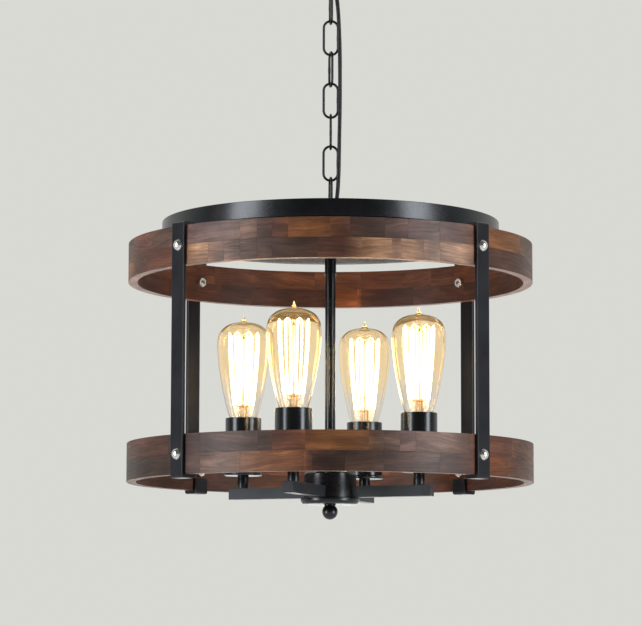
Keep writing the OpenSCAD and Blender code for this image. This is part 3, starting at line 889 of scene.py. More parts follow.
class Finish(Enum):
    """The finishes of the light, by the name of their slot and what they are made of."""

    BLACK_SATIN = Paint("black_satin", (0.0025, 0.0025, 0.0035), 0.26, depth=0.004, specular=0.58)
    # Lighter, bluer black satin for the arms: painted reflection of the soft light on their faces
    ARM_BLACK_PAINTED_SHEEN = Paint("black_satin", (0.028, 0.032, 0.037), 0.34, specular=0.4)
    STRAP_BLACK = Paint("strap_black", (0.006, 0.0055, 0.009), 0.32, grain=0.7, depth=0.03, specular=0.45)
    SOCKET_BLACK = Paint("socket_black", (0.003, 0.003, 0.0035), 0.22, depth=0.006, specular=0.65)
    CHAIN_BLACK = Paint("chain_black", (0.006, 0.009, 0.008), 0.26, grain=0.6, specular=0.42)
    CORD_BLACK = Paint("cord_black", (0.008, 0.009, 0.009), 0.42, grain=0.5, depth=0.05, specular=0.35)
    LEAD_WIRE = Paint("lead_wire", (0.03, 0.03, 0.03), 0.45)
    GROUND_GREEN = Paint("ground_green", (0.02, 0.22, 0.07), 0.30, metal=0.6)
    HOLDER_CERAMIC = Paint("holder_ceramic", (0.72, 0.69, 0.62), 0.35, coat=0.5, patches=0.08)
    BASE_GLAZE = Paint("bulb_cap", (0.012, 0.011, 0.012), 0.15, patches=0.1)
    ZINC = Plated("zinc", (0.66, 0.67, 0.66), (0.50, 0.50, 0.47), 0.32)
    SILVER = Plated("silver_hardware", (0.80, 0.80, 0.79), (0.62, 0.61, 0.58), 0.20)
    # A lighter copy of the silver for the nuts, with a rougher finish: the lighter colour is painted lamp
    # light
    NUT_SILVER_PAINTED_LIGHT = Plated("silver_hardware", (0.88, 0.88, 0.87), (0.72, 0.71, 0.69), 0.42)
    BRASS = Plated("bulb_cap", (0.80, 0.66, 0.38), (0.55, 0.42, 0.20), 0.22)
    SUPPORT = Plated("filament", (0.66, 0.46, 0.26), (0.40, 0.28, 0.17), 0.35)
    WOOD = StainedWood("stained_wood")
    GLASS = BlownGlass("bulb_glass", (1.0, 0.74, 0.38), 110.0, 0.02, 0.05, (1.0, 0.92, 0.77), painted_glow_strength=0.04)
    STEM_GLASS = BlownGlass("filament", (1.0, 0.84, 0.58), 60.0, 0.08, 0.10, (1.0, 0.92, 0.78),
                            clear_below=-590.0, gilt_above=-575.0)
    GLOW = Glowing("filament", (1.0, 0.74, 0.36), 14.0)


class Finishes:
    """Makes each finish's material once, and dresses pieces with it."""

    def __init__(self) -> None:
        """Start with no material made."""
        self._made: dict[str, bpy.types.Material] = {}

    def material(self, finish: Finish) -> bpy.types.Material:
        """Give a finish's material.

        Args:
            finish: The finish.

        Returns:
            Its material, made the first time that it is asked for.
        """
        if finish.name not in self._made:
            made = finish.value.make()
            made.name = "mat_" + finish.name.lower()
            self._made[finish.name] = made
        return self._made[finish.name]

    def dress(self, piece: bpy.types.Object, finish: Finish) -> None:
        """Give a piece its material.

        Args:
            piece: The piece.
            finish: Its finish.
        """
        piece.data.materials.clear()
        piece.data.materials.append(self.material(finish))

    def dress_node(self, node: str, finish: Finish) -> None:
        """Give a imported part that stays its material.

        Args:
            node: The part's name.
            finish: Its finish.
        """
        for slot in bpy.data.objects[node].material_slots:
            slot.material = self.material(finish)


@dataclass
class Assembly:
    """A sub-assembly: its pieces are built, dressed and hung on the body that carries them."""

    finishes: Finishes
    pieces: list[bpy.types.Object] = field(default_factory=list, init=False)

    def build(self) -> None:
        """Build every piece, as each sub-assembly says."""
        raise NotImplementedError

    def fit(self, piece: bpy.types.Object, finish: Finish, body: str, *nodes: str) -> None:
        """Dress a piece, let it ride on a body and hide what it stands for.

        Args:
            piece: The piece.
            finish: Its finish.
            body: The body that carries it.
            *nodes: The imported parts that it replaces.
        """
        self.finishes.dress(piece, finish)
        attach(piece, body)
        if nodes:
            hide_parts(*nodes)
        self.pieces.append(piece)

    def keep(self, node: str, finish: Finish) -> None:
        """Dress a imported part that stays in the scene.

        Args:
            node: The part's name.
            finish: Its finish.
        """
        self.finishes.dress_node(node, finish)

    def report(self) -> None:
        """Log each piece with its number of faces."""
        for piece in self.pieces:
            LOG.info("%s: %s, %d faces", type(self).__name__, piece.name, len(piece.data.polygons))


# The studio: the photograph's viewpoint, the lights, the surroundings and the floor


@dataclass(frozen=True)
class Viewpoint:
    """The photograph's viewpoint, in pixels of its 642 by 626 frame and millimetres of the light."""

    focal: float = 2848.64
    centre_column: float = 321.0
    place: Point = (0.0, -3363.23, -849.45)
    pitch: float = 0.1174
    yaw: float = -0.0033
    roll: float = 0.0024
    lens: float = 159.74
    sensor: float = 36.0
    left_edge: float = 184.2
    right_edge: float = 355.8
    halvings: int = 40

    def axes(self) -> tuple[Vector, Vector, Vector]:
        """Give the directions to the right, up and ahead."""
        cp, sp = math.cos(self.pitch), math.sin(self.pitch)
        cy, sy = math.cos(self.yaw), math.sin(self.yaw)
        right = Vector((cy, -sy, 0))
        ahead = Vector((cp * sy, cp * cy, sp))
        up = Vector((-sp * sy, -sp * cy, cp))
        turned_right = math.cos(self.roll) * right + math.sin(self.roll) * up
        turned_up = math.cos(self.roll) * up - math.sin(self.roll) * right
        return turned_right, turned_up, ahead

    def column(self, turn: float, radius: float, height: float) -> float:
        """Say in which column of the photograph a point of a ring stands.

        Args:
            turn: The point's direction in degrees.
            radius: The ring's radius.
            height: The point's height.

        Returns:
            The column.
        """
        right, _, ahead = self.axes()
        ray = Vector(polar(turn, radius, height)) - Vector(self.place)
        return self.centre_column + self.focal * ray.dot(right) / ray.dot(ahead)

    def turn_at(self, column: float, radius: float, height: float) -> float:
        """Say which direction of a ring's front stands in a column of the photograph.

        Args:
            column: The column.
            radius: The ring's radius.
            height: The height on the ring.

        Returns:
            The direction in degrees, between the ring's left edge and its right edge.
        """
        low, high = self.left_edge, self.right_edge
        for _ in range(self.halvings):
            middle = (low + high) / 2
            if self.column(middle, radius, height) < column:
                low = middle
            else:
                high = middle
        return (low + high) / 2


@dataclass
class Studio:
    """Camera, soft boxes, surroundings and floor."""

    view: Viewpoint
    backdrop: Rgb = linear(217, 217, 212)
    ambient: float = 0.28
    room: float = 0.14
    room_start: float = -0.3
    room_end: float = 0.6
    aim_height: float = -0.5
    box_size: Flat = (1.0, 3.0)
    box_distance: float = 3.0
    box_turn: float = 58.0
    box_height: float = -0.3
    box_light: float = 8.0
    window_size: Flat = (1.8, 0.55)
    window_height: float = -0.87
    window_light: float = 2.0
    back_size: Flat = (2.2, 1.4)
    back_height: float = 1.0
    back_light: float = 4.5
    floor_height: float = -5.5
    floor_size: float = 120.0
    floor_shade: float = 0.97
    floor_glow: float = 0.64
    floor_cloud: float = 0.6
    floor_roughness: float = 0.9

    def build(self) -> None:
        """Set up everything that is not part of the light."""
        self._camera()
        self._surroundings()
        turn, away = math.radians(self.box_turn), self.box_distance
        for side in (-1, 1):
            spot = (side * math.sin(turn) * away, -math.cos(turn) * away, self.box_height)
            self._panel("soft_box", spot, self.box_size, self.box_light)
        self._panel("low_window", (0, away, self.window_height), self.window_size, self.window_light)
        self._panel("back_box", (0, away, self.back_height), self.back_size, self.back_light, False)
        self._floor()

    def _camera(self) -> None:
        """Stand the camera where the photograph was taken."""
        right, up, ahead = self.view.axes()
        data = bpy.data.cameras.new("camera")
        data.lens = self.view.lens
        data.sensor_width = self.view.sensor
        data.clip_start, data.clip_end = 0.01, 100.0
        camera = bpy.data.objects.new("camera", data)
        bpy.context.scene.collection.objects.link(camera)
        spot = Vector(self.view.place) * MM
        camera.matrix_world = Matrix((
            (right.x, up.x, -ahead.x, spot.x), (right.y, up.y, -ahead.y, spot.y),
            (right.z, up.z, -ahead.z, spot.z), (0, 0, 0, 1)))
        bpy.context.scene.camera = camera

    def _surroundings(self) -> None:
        """Show the plain backdrop to the eye and to glass, a darker room to gloss, and light all evenly."""
        world = bpy.data.worlds.new("surroundings")
        world.use_nodes = True
        nodes, links = world.node_tree.nodes, world.node_tree.links
        nodes.clear()
        rays, seen, place, split, fade = (nodes.new("ShaderNode" + kind) for kind in (
            "LightPath", "Math", "TexCoord", "SeparateXYZ", "MapRange"))
        seen.operation = "MAXIMUM"
        fade.interpolation_type = "SMOOTHSTEP"
        for name, value in (("From Min", self.room_start), ("From Max", self.room_end),
                            ("To Min", self.room), ("To Max", 1.0)):
            fade.inputs[name].default_value = value
        even, mirrored, plain = (nodes.new("ShaderNodeBackground") for _ in range(3))
        even.inputs["Color"].default_value = (1.0, 1.0, 1.0, 1.0)
        even.inputs["Strength"].default_value = self.ambient
        for backdrop in (mirrored, plain):
            backdrop.inputs["Color"].default_value = (*self.backdrop, 1.0)
        gloss, mix = nodes.new("ShaderNodeMixShader"), nodes.new("ShaderNodeMixShader")
        out = nodes.new("ShaderNodeOutputWorld")
        for source, target in (
                (rays.outputs["Is Camera Ray"], seen.inputs[0]),
                (rays.outputs["Is Transmission Ray"], seen.inputs[1]),
                (place.outputs["Generated"], split.inputs[0]), (split.outputs["Y"], fade.inputs["Value"]),
                (fade.outputs["Result"], mirrored.inputs["Strength"]),
                (rays.outputs["Is Glossy Ray"], gloss.inputs[0]), (even.outputs[0], gloss.inputs[1]),
                (mirrored.outputs[0], gloss.inputs[2]), (seen.outputs[0], mix.inputs[0]),
                (gloss.outputs[0], mix.inputs[1]), (plain.outputs[0], mix.inputs[2]),
                (mix.outputs[0], out.inputs["Surface"])):
            links.new(source, target)
        bpy.context.scene.world = world

    def _panel(self, name: str, spot: Point, size: Flat, light: float, in_gloss: bool = True) -> None:
        """Hang one lit panel that faces the light.

        Args:
            name: Its name.
            spot: Where it hangs, in metres.
            size: Its width and height, in metres.
            light: How bright its face is.
            in_gloss: Whether glossy things mirror it.
        """
        data = bpy.data.lights.new(name, "AREA")
        data.shape = "RECTANGLE"
        data.size, data.size_y = size
        data.energy = light * math.pi * size[0] * size[1]
        panel = bpy.data.objects.new(name, data)
        bpy.context.scene.collection.objects.link(panel)
        aim = Vector((0, 0, self.aim_height)) - Vector(spot)
        panel.matrix_world = Matrix.Translation(spot) @ aim.to_track_quat("-Z", "Y").to_matrix().to_4x4()
        panel.visible_camera = panel.visible_transmission = False
        panel.visible_glossy = in_gloss

    def _floor(self) -> None:
        """Lay the plain pale floor, far below the hanging light."""
        begin()
        bpy.ops.mesh.primitive_plane_add(size=self.floor_size, location=(0, 0, self.floor_height))
        floor = bpy.context.object
        floor.name = "floor"
        settle(floor)
        graph = Graph("pale_floor")
        cloud = graph.noise(graph.place, self.floor_cloud, 3)
        colour = graph.blend(cloud, tuple(self.floor_shade * part for part in self.backdrop), self.backdrop)
        rays = graph.add("LightPath")
        eye = graph.sum("MAXIMUM", rays.outputs["Is Camera Ray"], rays.outputs["Is Glossy Ray"])
        eye = graph.sum("MAXIMUM", eye, rays.outputs["Is Transmission Ray"])
        graph.put(graph.shader, {
            "Base Color": colour, "Roughness": self.floor_roughness, "Emission Color": colour,
            "Emission Strength": graph.sum("MULTIPLY", eye, self.floor_glow)})
        floor.data.materials.append(graph.material)


# The supply cord beside the chain


@dataclass
class SupplyCord(Assembly):
    """The supply cord beside the chain, in one stretch for each hinge that it crosses."""

    diameter: float = 4.8
    sides: int = 10
    first_hinge: float = -64.8
    hinge_pitch: float = 38.14
    reach: float = 14.0
    spacing: float = 2.5
    margin: float = 0.4
    route: tuple[Point, ...] = (
        (0, 0, -4), (0, 0, -12), (0, 0, -20), (0, 0, -28), (0, 0, -36),
        (0.2, -0.2, -39), (0.7, -0.7, -42), (1.6, -1.5, -45), (2.7, -2.6, -47.4),
        (3.8, -3.6, -49.8), (4.7, -4.5, -52.8), (5.2, -5, -55.8), (5.4, -5.2, -58.8),
        (5.8, -5.2, -64), (6.5, -5.2, -69), (7.6, -5.2, -77), (8.8, -5.2, -90),
        (9.8, -5.1, -108), (10.5, -5, -128), (10.9, -5, -150), (11, -5, -172),
        (11, -5, -194), (10.8, -5, -216), (10.4, -5, -238), (10.1, -5, -260),
        (9.7, -5.1, -280), (8.9, -5.2, -300), (7.7, -5.2, -314), (6.5, -5.2, -323),
        (5.8, -5.2, -329), (5.4, -5.2, -334), (5.2, -5, -337), (4.7, -4.5, -340),
        (3.8, -3.6, -343), (2.7, -2.6, -345.4), (1.6, -1.5, -347.8), (0.7, -0.7, -350.8),
        (0.2, -0.2, -353.8), (0, 0, -357), (0, 0, -364), (0, 0, -371))

    def build(self) -> None:
        """Build every stretch along the cord's curve."""
        bodies = ["canopy"] + [f"link_{number}" for number in range(LINK_COUNT, 0, -1)] + ["drum"]
        middles = [TOP_LINK - LINK_PITCH * number for number in range(LINK_COUNT)]
        ends = [self.route[0][2], *middles, self.route[-1][2]]
        smooth = self._smooth()
        for number, (above, below) in enumerate(zip(bodies, bodies[1:])):
            points = self._stretch(smooth, ends[number], ends[number + 1])
            piece = self._tube(f"supply_cord_{number + 1}", points)
            self.finishes.dress(piece, Finish.CORD_BLACK)
            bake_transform(piece)
            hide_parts("supply_cord")
            self.pieces.append(piece)

    def _smooth(self) -> list[Vector]:
        """Run one smooth curve through the route's points."""
        knots = [Vector(point) for point in self.route]
        knots = [2 * knots[0] - knots[1], *knots, 2 * knots[-1] - knots[-2]]
        points: list[Vector] = []
        for before, start, end, after in zip(knots, knots[1:], knots[2:], knots[3:]):
            parts = max(2, round((end - start).length / self.spacing))
            for part in range(parts):
                t = part / parts
                points.append(0.5 * (
                    2 * start + (end - before) * t + (2 * before - 5 * start + 4 * end - after) * t * t
                    + (3 * start - before - 3 * end + after) * t ** 3))
        return [*points, knots[-2]]

    def _stretch(self, smooth: Sequence[Vector], high: float, low: float) -> list[Point]:
        """Cut the curve between two heights.

        Args:
            smooth: The whole curve's points.
            high: The stretch's upper end.
            low: Its lower end.

        Returns:
            The stretch's points, with both ends exactly at their heights.
        """
        inner = [point for point in smooth if low + self.margin < point.z < high - self.margin]
        return [tuple(point) for point in (self._at(smooth, high), *inner, self._at(smooth, low))]

    def _at(self, smooth: Sequence[Vector], height: float) -> Vector:
        """Find the curve's point at a height.

        Args:
            smooth: The whole curve's points, from the top down.
            height: The height.

        Returns:
            The point, or the curve's nearer end where it doesn't reach.
        """
        for above, below in zip(smooth, smooth[1:]):
            if below.z <= height <= above.z:
                return above.lerp(below, (above.z - height) / (above.z - below.z))
        return smooth[0] if height > smooth[0].z else smooth[-1]

    def _tube(self, name: str, points: Sequence[Point]) -> bpy.types.Object:
        """Sweep a round section along points.

        Args:
            name: The piece's name.
            points: The points in millimetres.

        Returns:
            The tube as a mesh.
        """
        begin()
        curve = bpy.data.curves.new(name, "CURVE")
        curve.dimensions = "3D"
        curve.bevel_depth = self.diameter / 2 * MM
        curve.bevel_resolution = (self.sides - 4) // 2
        curve.use_fill_caps = True
        spline = curve.splines.new("POLY")
        spline.points.add(len(points) - 1)
        for knot, point in zip(spline.points, points):
            knot.co = (*(Vector(point) * MM), 1.0)
        tube = bpy.data.objects.new(name, curve)
        bpy.context.scene.collection.objects.link(tube)
        hold(tube)
        bpy.ops.object.convert(target="MESH")
        return tidy_mesh(bpy.context.object, 50)


# The ceiling mount and the chain


def stadium(name: str, wire: float, bend: float, half: float, weld: float = 0.0) -> bpy.types.Object:
    """Bend a wire into a closed link that stands in the XZ plane about the origin.

    Args:
        name: The new piece's name.
        wire: The wire's diameter.
        bend: The radius of the bends' centreline.
        half: Half the distance between the bends' centres.
        weld: How much the wire swells at its weld, as a share.

    Returns:
        The link.
    """
    begin()
    bpy.ops.mesh.primitive_torus_add(rotation=(math.pi / 2, 0, 0), major_segments=48, minor_segments=16,
                                     major_radius=bend * MM, minor_radius=wire / 2 * MM)
    link = bpy.context.object
    link.name = name
    link.data.name = name
    settle(link)
    open_mesh(link)
    pick(link, Pick.FACES, lambda spot: spot.z > 0)
    bpy.ops.mesh.split()
    bpy.ops.transform.translate(value=(0, 0, half * MM))
    pick(link, Pick.FACES, lambda spot: spot.z < half - 1e-4)
    bpy.ops.transform.translate(value=(0, 0, -half * MM))
    for side in (-1, 1):
        pick(link, Pick.EDGES, lambda spot: abs(abs(spot.z) - half) < 1e-3 and spot.x * side > 0)
        bpy.ops.mesh.bridge_edge_loops(number_cuts=6)
    if weld > 0:
        pick(link, Pick.VERTS, lambda spot: abs(spot.z) < half / 6 and spot.x > 0)
        bpy.ops.transform.resize(value=(1 + weld, 1 + weld, 1), center_override=(bend * MM, 0, 0))
    return tidy_mesh(link, 60)


@dataclass(frozen=True)
class Loop:
    """A cast loop on a boss, with a bore for the cord."""

    wire: float = 4.0
    width: float = 24.0
    height: float = 36.3
    boss_width: float = 18.0
    boss_height: float = 8.0
    socket_depth: float = 5.7

    def build(self, name: str) -> bpy.types.Object:
        """Model the loop on its seat at the origin.

        Args:
            name: The piece's name.

        Returns:
            The loop.
        """
        bend = (self.width - self.wire) / 2
        low_bend = self.boss_height + bend - self.wire / 4
        high_bend = self.height - self.wire / 2 - bend
        ring = stadium(name, self.wire, bend, (high_bend - low_bend) / 2)
        settle(ring, Matrix.Translation((0, 0, (high_bend + low_bend) / 2 * MM)))
        radius = self.boss_width / 2
        boss = turned("boss", (
            Corner(0, 0), Corner(radius, 0, 0.6), Corner(radius, self.boss_height - 2, 0.8),
            Corner(radius - 2.5, self.boss_height + 1, 1.0), Corner(0, self.boss_height + 1)), 48, False)
        combine(ring, boss, "UNION")
        for bore, low, high in ((NIPPLE_HOLE, -1, self.socket_depth),
                                (NIPPLE_BORE, 4, self.boss_height + self.wire)):
            drill = turned("drill", (
                Corner(0, low), Corner(bore, low), Corner(bore, high), Corner(0, high)), 32, False)
            combine(ring, drill, "DIFFERENCE")
        return tidy_mesh(ring, 45)


@dataclass
class CeilingMount(Assembly):
    """Bracket, threaded nipple, canopy, its collar and its loop."""

    canopy_width: float = 120.0
    canopy_edge: float = 9.0
    canopy_wall: float = 1.2
    canopy_top: float = -0.02
    collar_width: float = 24.0

    def build(self) -> None:
        """Build the ceiling end."""
        self._canopy()
        self._collar()
        loop = Loop().build("canopy_loop_cast")
        settle(loop, Matrix.Translation((0, 0, CANOPY_LOOP_SEAT * MM)) @ Matrix.Rotation(math.pi, 4, "X"))
        self.fit(loop, Finish.CHAIN_BLACK, "canopy", "canopy_loop")
        for node, finish in (("ceiling_bracket", Finish.ZINC), ("bracket_nipple", Finish.ZINC),
                             ("bracket_locknut", Finish.ZINC), ("ground_screw", Finish.GROUND_GREEN)):
            self.keep(node, finish)

    def _canopy(self) -> None:
        """Press the canopy: a shallow cup with a round lower edge and a hole for the nipple."""
        radius, low, wall = self.canopy_width / 2, CANOPY_BOTTOM, self.canopy_wall
        canopy = turned("canopy_cup", (
            Corner(NIPPLE_HOLE, low), Corner(radius, low, self.canopy_edge),
            Corner(radius, self.canopy_top, 0.5), Corner(radius - wall, self.canopy_top, 0.5),
            Corner(radius - wall, low + wall, self.canopy_edge - wall), Corner(NIPPLE_HOLE, low + wall)), 128)
        self.fit(canopy, Finish.BLACK_SATIN, "canopy", "canopy")

    def _collar(self) -> None:
        """Turn the collar that holds the canopy up."""
        radius = self.collar_width / 2
        collar = turned("canopy_collar_ring", (
            Corner(NIPPLE_HOLE, CANOPY_LOOP_SEAT), Corner(radius, CANOPY_LOOP_SEAT, 1.0),
            Corner(radius, CANOPY_BOTTOM, 0.3), Corner(NIPPLE_HOLE, CANOPY_BOTTOM)), 96)
        self.fit(collar, Finish.CHAIN_BLACK, "canopy", "canopy_collar")


@dataclass
class Chain(Assembly):
    """Seven welded links, hung side-on and face-on in turn."""

    wire: float = 3.0
    bend: float = 8.5
    half: float = 12.25
    weld: float = 0.12
    twists: tuple[float, ...] = (8, 0, 0, 0, 12, 0, 8)

    def build(self) -> None:
        """Bend one link and copy it down the chain."""
        first = stadium("link_pattern", self.wire, self.bend, self.half, self.weld)
        for number, twist in enumerate(self.twists, 1):
            turn = twist + (90 if number % 2 else 0)
            height = TOP_LINK - (LINK_COUNT - number) * LINK_PITCH
            link = copy_of(first, f"welded_link_{number}", stand(turn, 0, height))
            self.fit(link, Finish.CHAIN_BLACK, f"link_{number}", f"chain_link_{number}")
        bpy.data.objects.remove(first, do_unlink=True)


# The drum: its top, its wood rings and its straps


def hex_nut(name: str, corners: float, bore: float, low: float, high: float) -> bpy.types.Object:
    """Turn a chamfered washer and cut six flats on it.

    Args:
        name: The new piece's name.
        corners: The width across the corners.
        bore: The bore's radius.
        low: The lower face's height.
        high: The upper face's height.

    Returns:
        The nut on the axis.
    """
    radius, cut = corners / 2, corners * 0.055
    nut = turned(name, (
        Corner(bore + 0.4, low), Corner(radius - cut, low), Corner(radius, low + cut * 0.6),
        Corner(radius, high - cut * 0.6), Corner(radius - cut, high), Corner(bore + 0.4, high),
        Corner(bore, high - 0.4), Corner(bore, low + 0.4)), 72)
    begin()
    bpy.ops.mesh.primitive_cylinder_add(vertices=6, radius=radius * MM, depth=(high - low + 2) * MM,
                                        location=(0, 0, (high + low) / 2 * MM), rotation=(0, 0, math.pi / 6))
    flats = bpy.context.object
    settle(flats)
    combine(nut, flats, "INTERSECT")
    return tidy_mesh(nut, 20)


@dataclass
class DrumTop(Assembly):
    """Loop, collar, nipple, pan and crossbar over the upper ring."""

    collar_corners: float = 20.0
    pan_width: float = 401.0
    pan_height: float = 22.0
    pan_wall: float = 1.5
    pan_edge: float = 3.0
    bar_width: float = 20.0
    bar_thickness: float = 5.0
    bar_half: float = 239.0
    screw_out: float = 234.5
    screw_length: float = 16.0
    shank: float = 1.8
    head: float = 3.8
    head_height: float = 2.4
    cross: float = 2.1
    cross_width: float = 0.9

    def build(self) -> None:
        """Build the drum's top."""
        loop = Loop().build("fixture_loop_cast")
        settle(loop, Matrix.Translation((0, 0, FIXTURE_LOOP_SEAT * MM)))
        self.fit(loop, Finish.CHAIN_BLACK, "drum", "fixture_loop")
        collar = hex_nut("fixture_collar_nut", self.collar_corners, NIPPLE_HOLE, PAN_FLOOR, FIXTURE_LOOP_SEAT)
        self.fit(collar, Finish.CHAIN_BLACK, "drum", "fixture_collar")
        self.keep("hanger_nipple", Finish.ZINC)
        self._pan()
        self._crossbar()
        self._screws()

    def _pan(self) -> None:
        """Spin the shallow pan from sheet, with a round lower edge and a hemmed rim."""
        radius, wall = self.pan_width / 2, self.pan_wall
        top = BAR_TOP + self.pan_height
        pan = turned("top_pan_dish", (
            Corner(NIPPLE_HOLE, BAR_TOP), Corner(radius, BAR_TOP, self.pan_edge), Corner(radius, top, 0.6),
            Corner(radius - wall - 0.4, top, 0.6), Corner(radius - wall - 0.4, top - 4, 0.3),
            Corner(radius - wall, top - 4.6, 0.3), Corner(radius - wall, PAN_FLOOR, self.pan_edge - wall),
            Corner(NIPPLE_HOLE, PAN_FLOOR)), 192)
        self.fit(pan, Finish.BLACK_SATIN, "drum", "top_pan")

    def _crossbar(self) -> None:
        """Cut the flat bar under the pan, round at both ends."""
        half_width = self.bar_width / 2
        end = self.bar_half - half_width
        outline: list[Point] = []
        for side in (1, -1):
            for turn in range(-90, 91, 15):
                across, along, height = polar(turn, half_width, UPPER_RING_TOP)
                outline.append((side * (end + across), side * along, height))
        bar = slab("crossbar_flat", outline, (0, 0, self.bar_thickness))
        ease(bar, 0.6)
        self.fit(bar, Finish.BLACK_SATIN, "drum", "crossbar")

    def _screws(self) -> None:
        """Turn the two wood screws and cut the cross in their heads."""
        parts = []
        point, top = UPPER_RING_TOP - self.screw_length, BAR_TOP + self.head_height
        half = self.cross_width / 2
        for side in (-1, 1):
            screw = turned("screw", (
                Corner(0, point), Corner(self.shank, point + 2), Corner(self.shank, BAR_TOP),
                Corner(self.head, BAR_TOP, 0.2), Corner(3.1, BAR_TOP + 1.6, 1.6), Corner(1.6, top, 0.8),
                Corner(0, top)), 32, False)
            for turn in (0, 90):
                cut = block("cut", (-self.cross, -half, BAR_TOP + 1.3), (self.cross, half, BAR_TOP + 3))
                settle(cut, stand(turn))
                combine(screw, cut, "DIFFERENCE")
            settle(screw, Matrix.Translation((side * self.screw_out * MM, 0, 0)))
            parts.append(screw)
        screws = tidy_mesh(join("crossbar_wood_screws", parts))
        self.fit(screws, Finish.BLACK_SATIN, "drum", "crossbar_screws")


class Stain(Enum):
    """The stains of the wood blocks."""

    MAUVE_GREY = linear(126, 98, 93)
    WARM_MAUVE = linear(134, 104, 90)
    DUSK = linear(92, 68, 62)
    RUST = linear(114, 70, 52)
    HONEY_BROWN = linear(136, 88, 48)
    DARK_RED = linear(90, 56, 42)
    UMBER = linear(78, 57, 45)
    TAN = linear(200, 157, 120)
    PINK_TAN = linear(162, 124, 106)
    TAUPE = linear(106, 80, 69)
    SAND = linear(177, 142, 117)
    OLIVE = linear(88, 65, 51)
    LIGHT_ORANGE = linear(150, 100, 68)
    ORANGE = linear(142, 82, 44)
    CHOCOLATE = linear(62, 42, 34)


@dataclass(frozen=True)
class Course:
    """One course of a ring: the blocks in front as the photograph shows them, and a seed for the rest."""

    first_column: float
    blocks: tuple[tuple[Stain, float], ...]
    seed: int


@dataclass(frozen=True)
class WoodBlock:
    """One block: where it lies, its stain, those of its neighbours, and what its grain is drawn from."""

    low: float
    high: float
    start: float
    end: float
    stain: Stain
    beside: tuple[Stain, Stain]
    seed: int


def mixed(first: Rgb, second: Rgb, share: float) -> Rgb:
    """Mix two stains, share being how much of the second goes in."""
    return tuple(a * (1 - share) + b * share for a, b in zip(first, second))


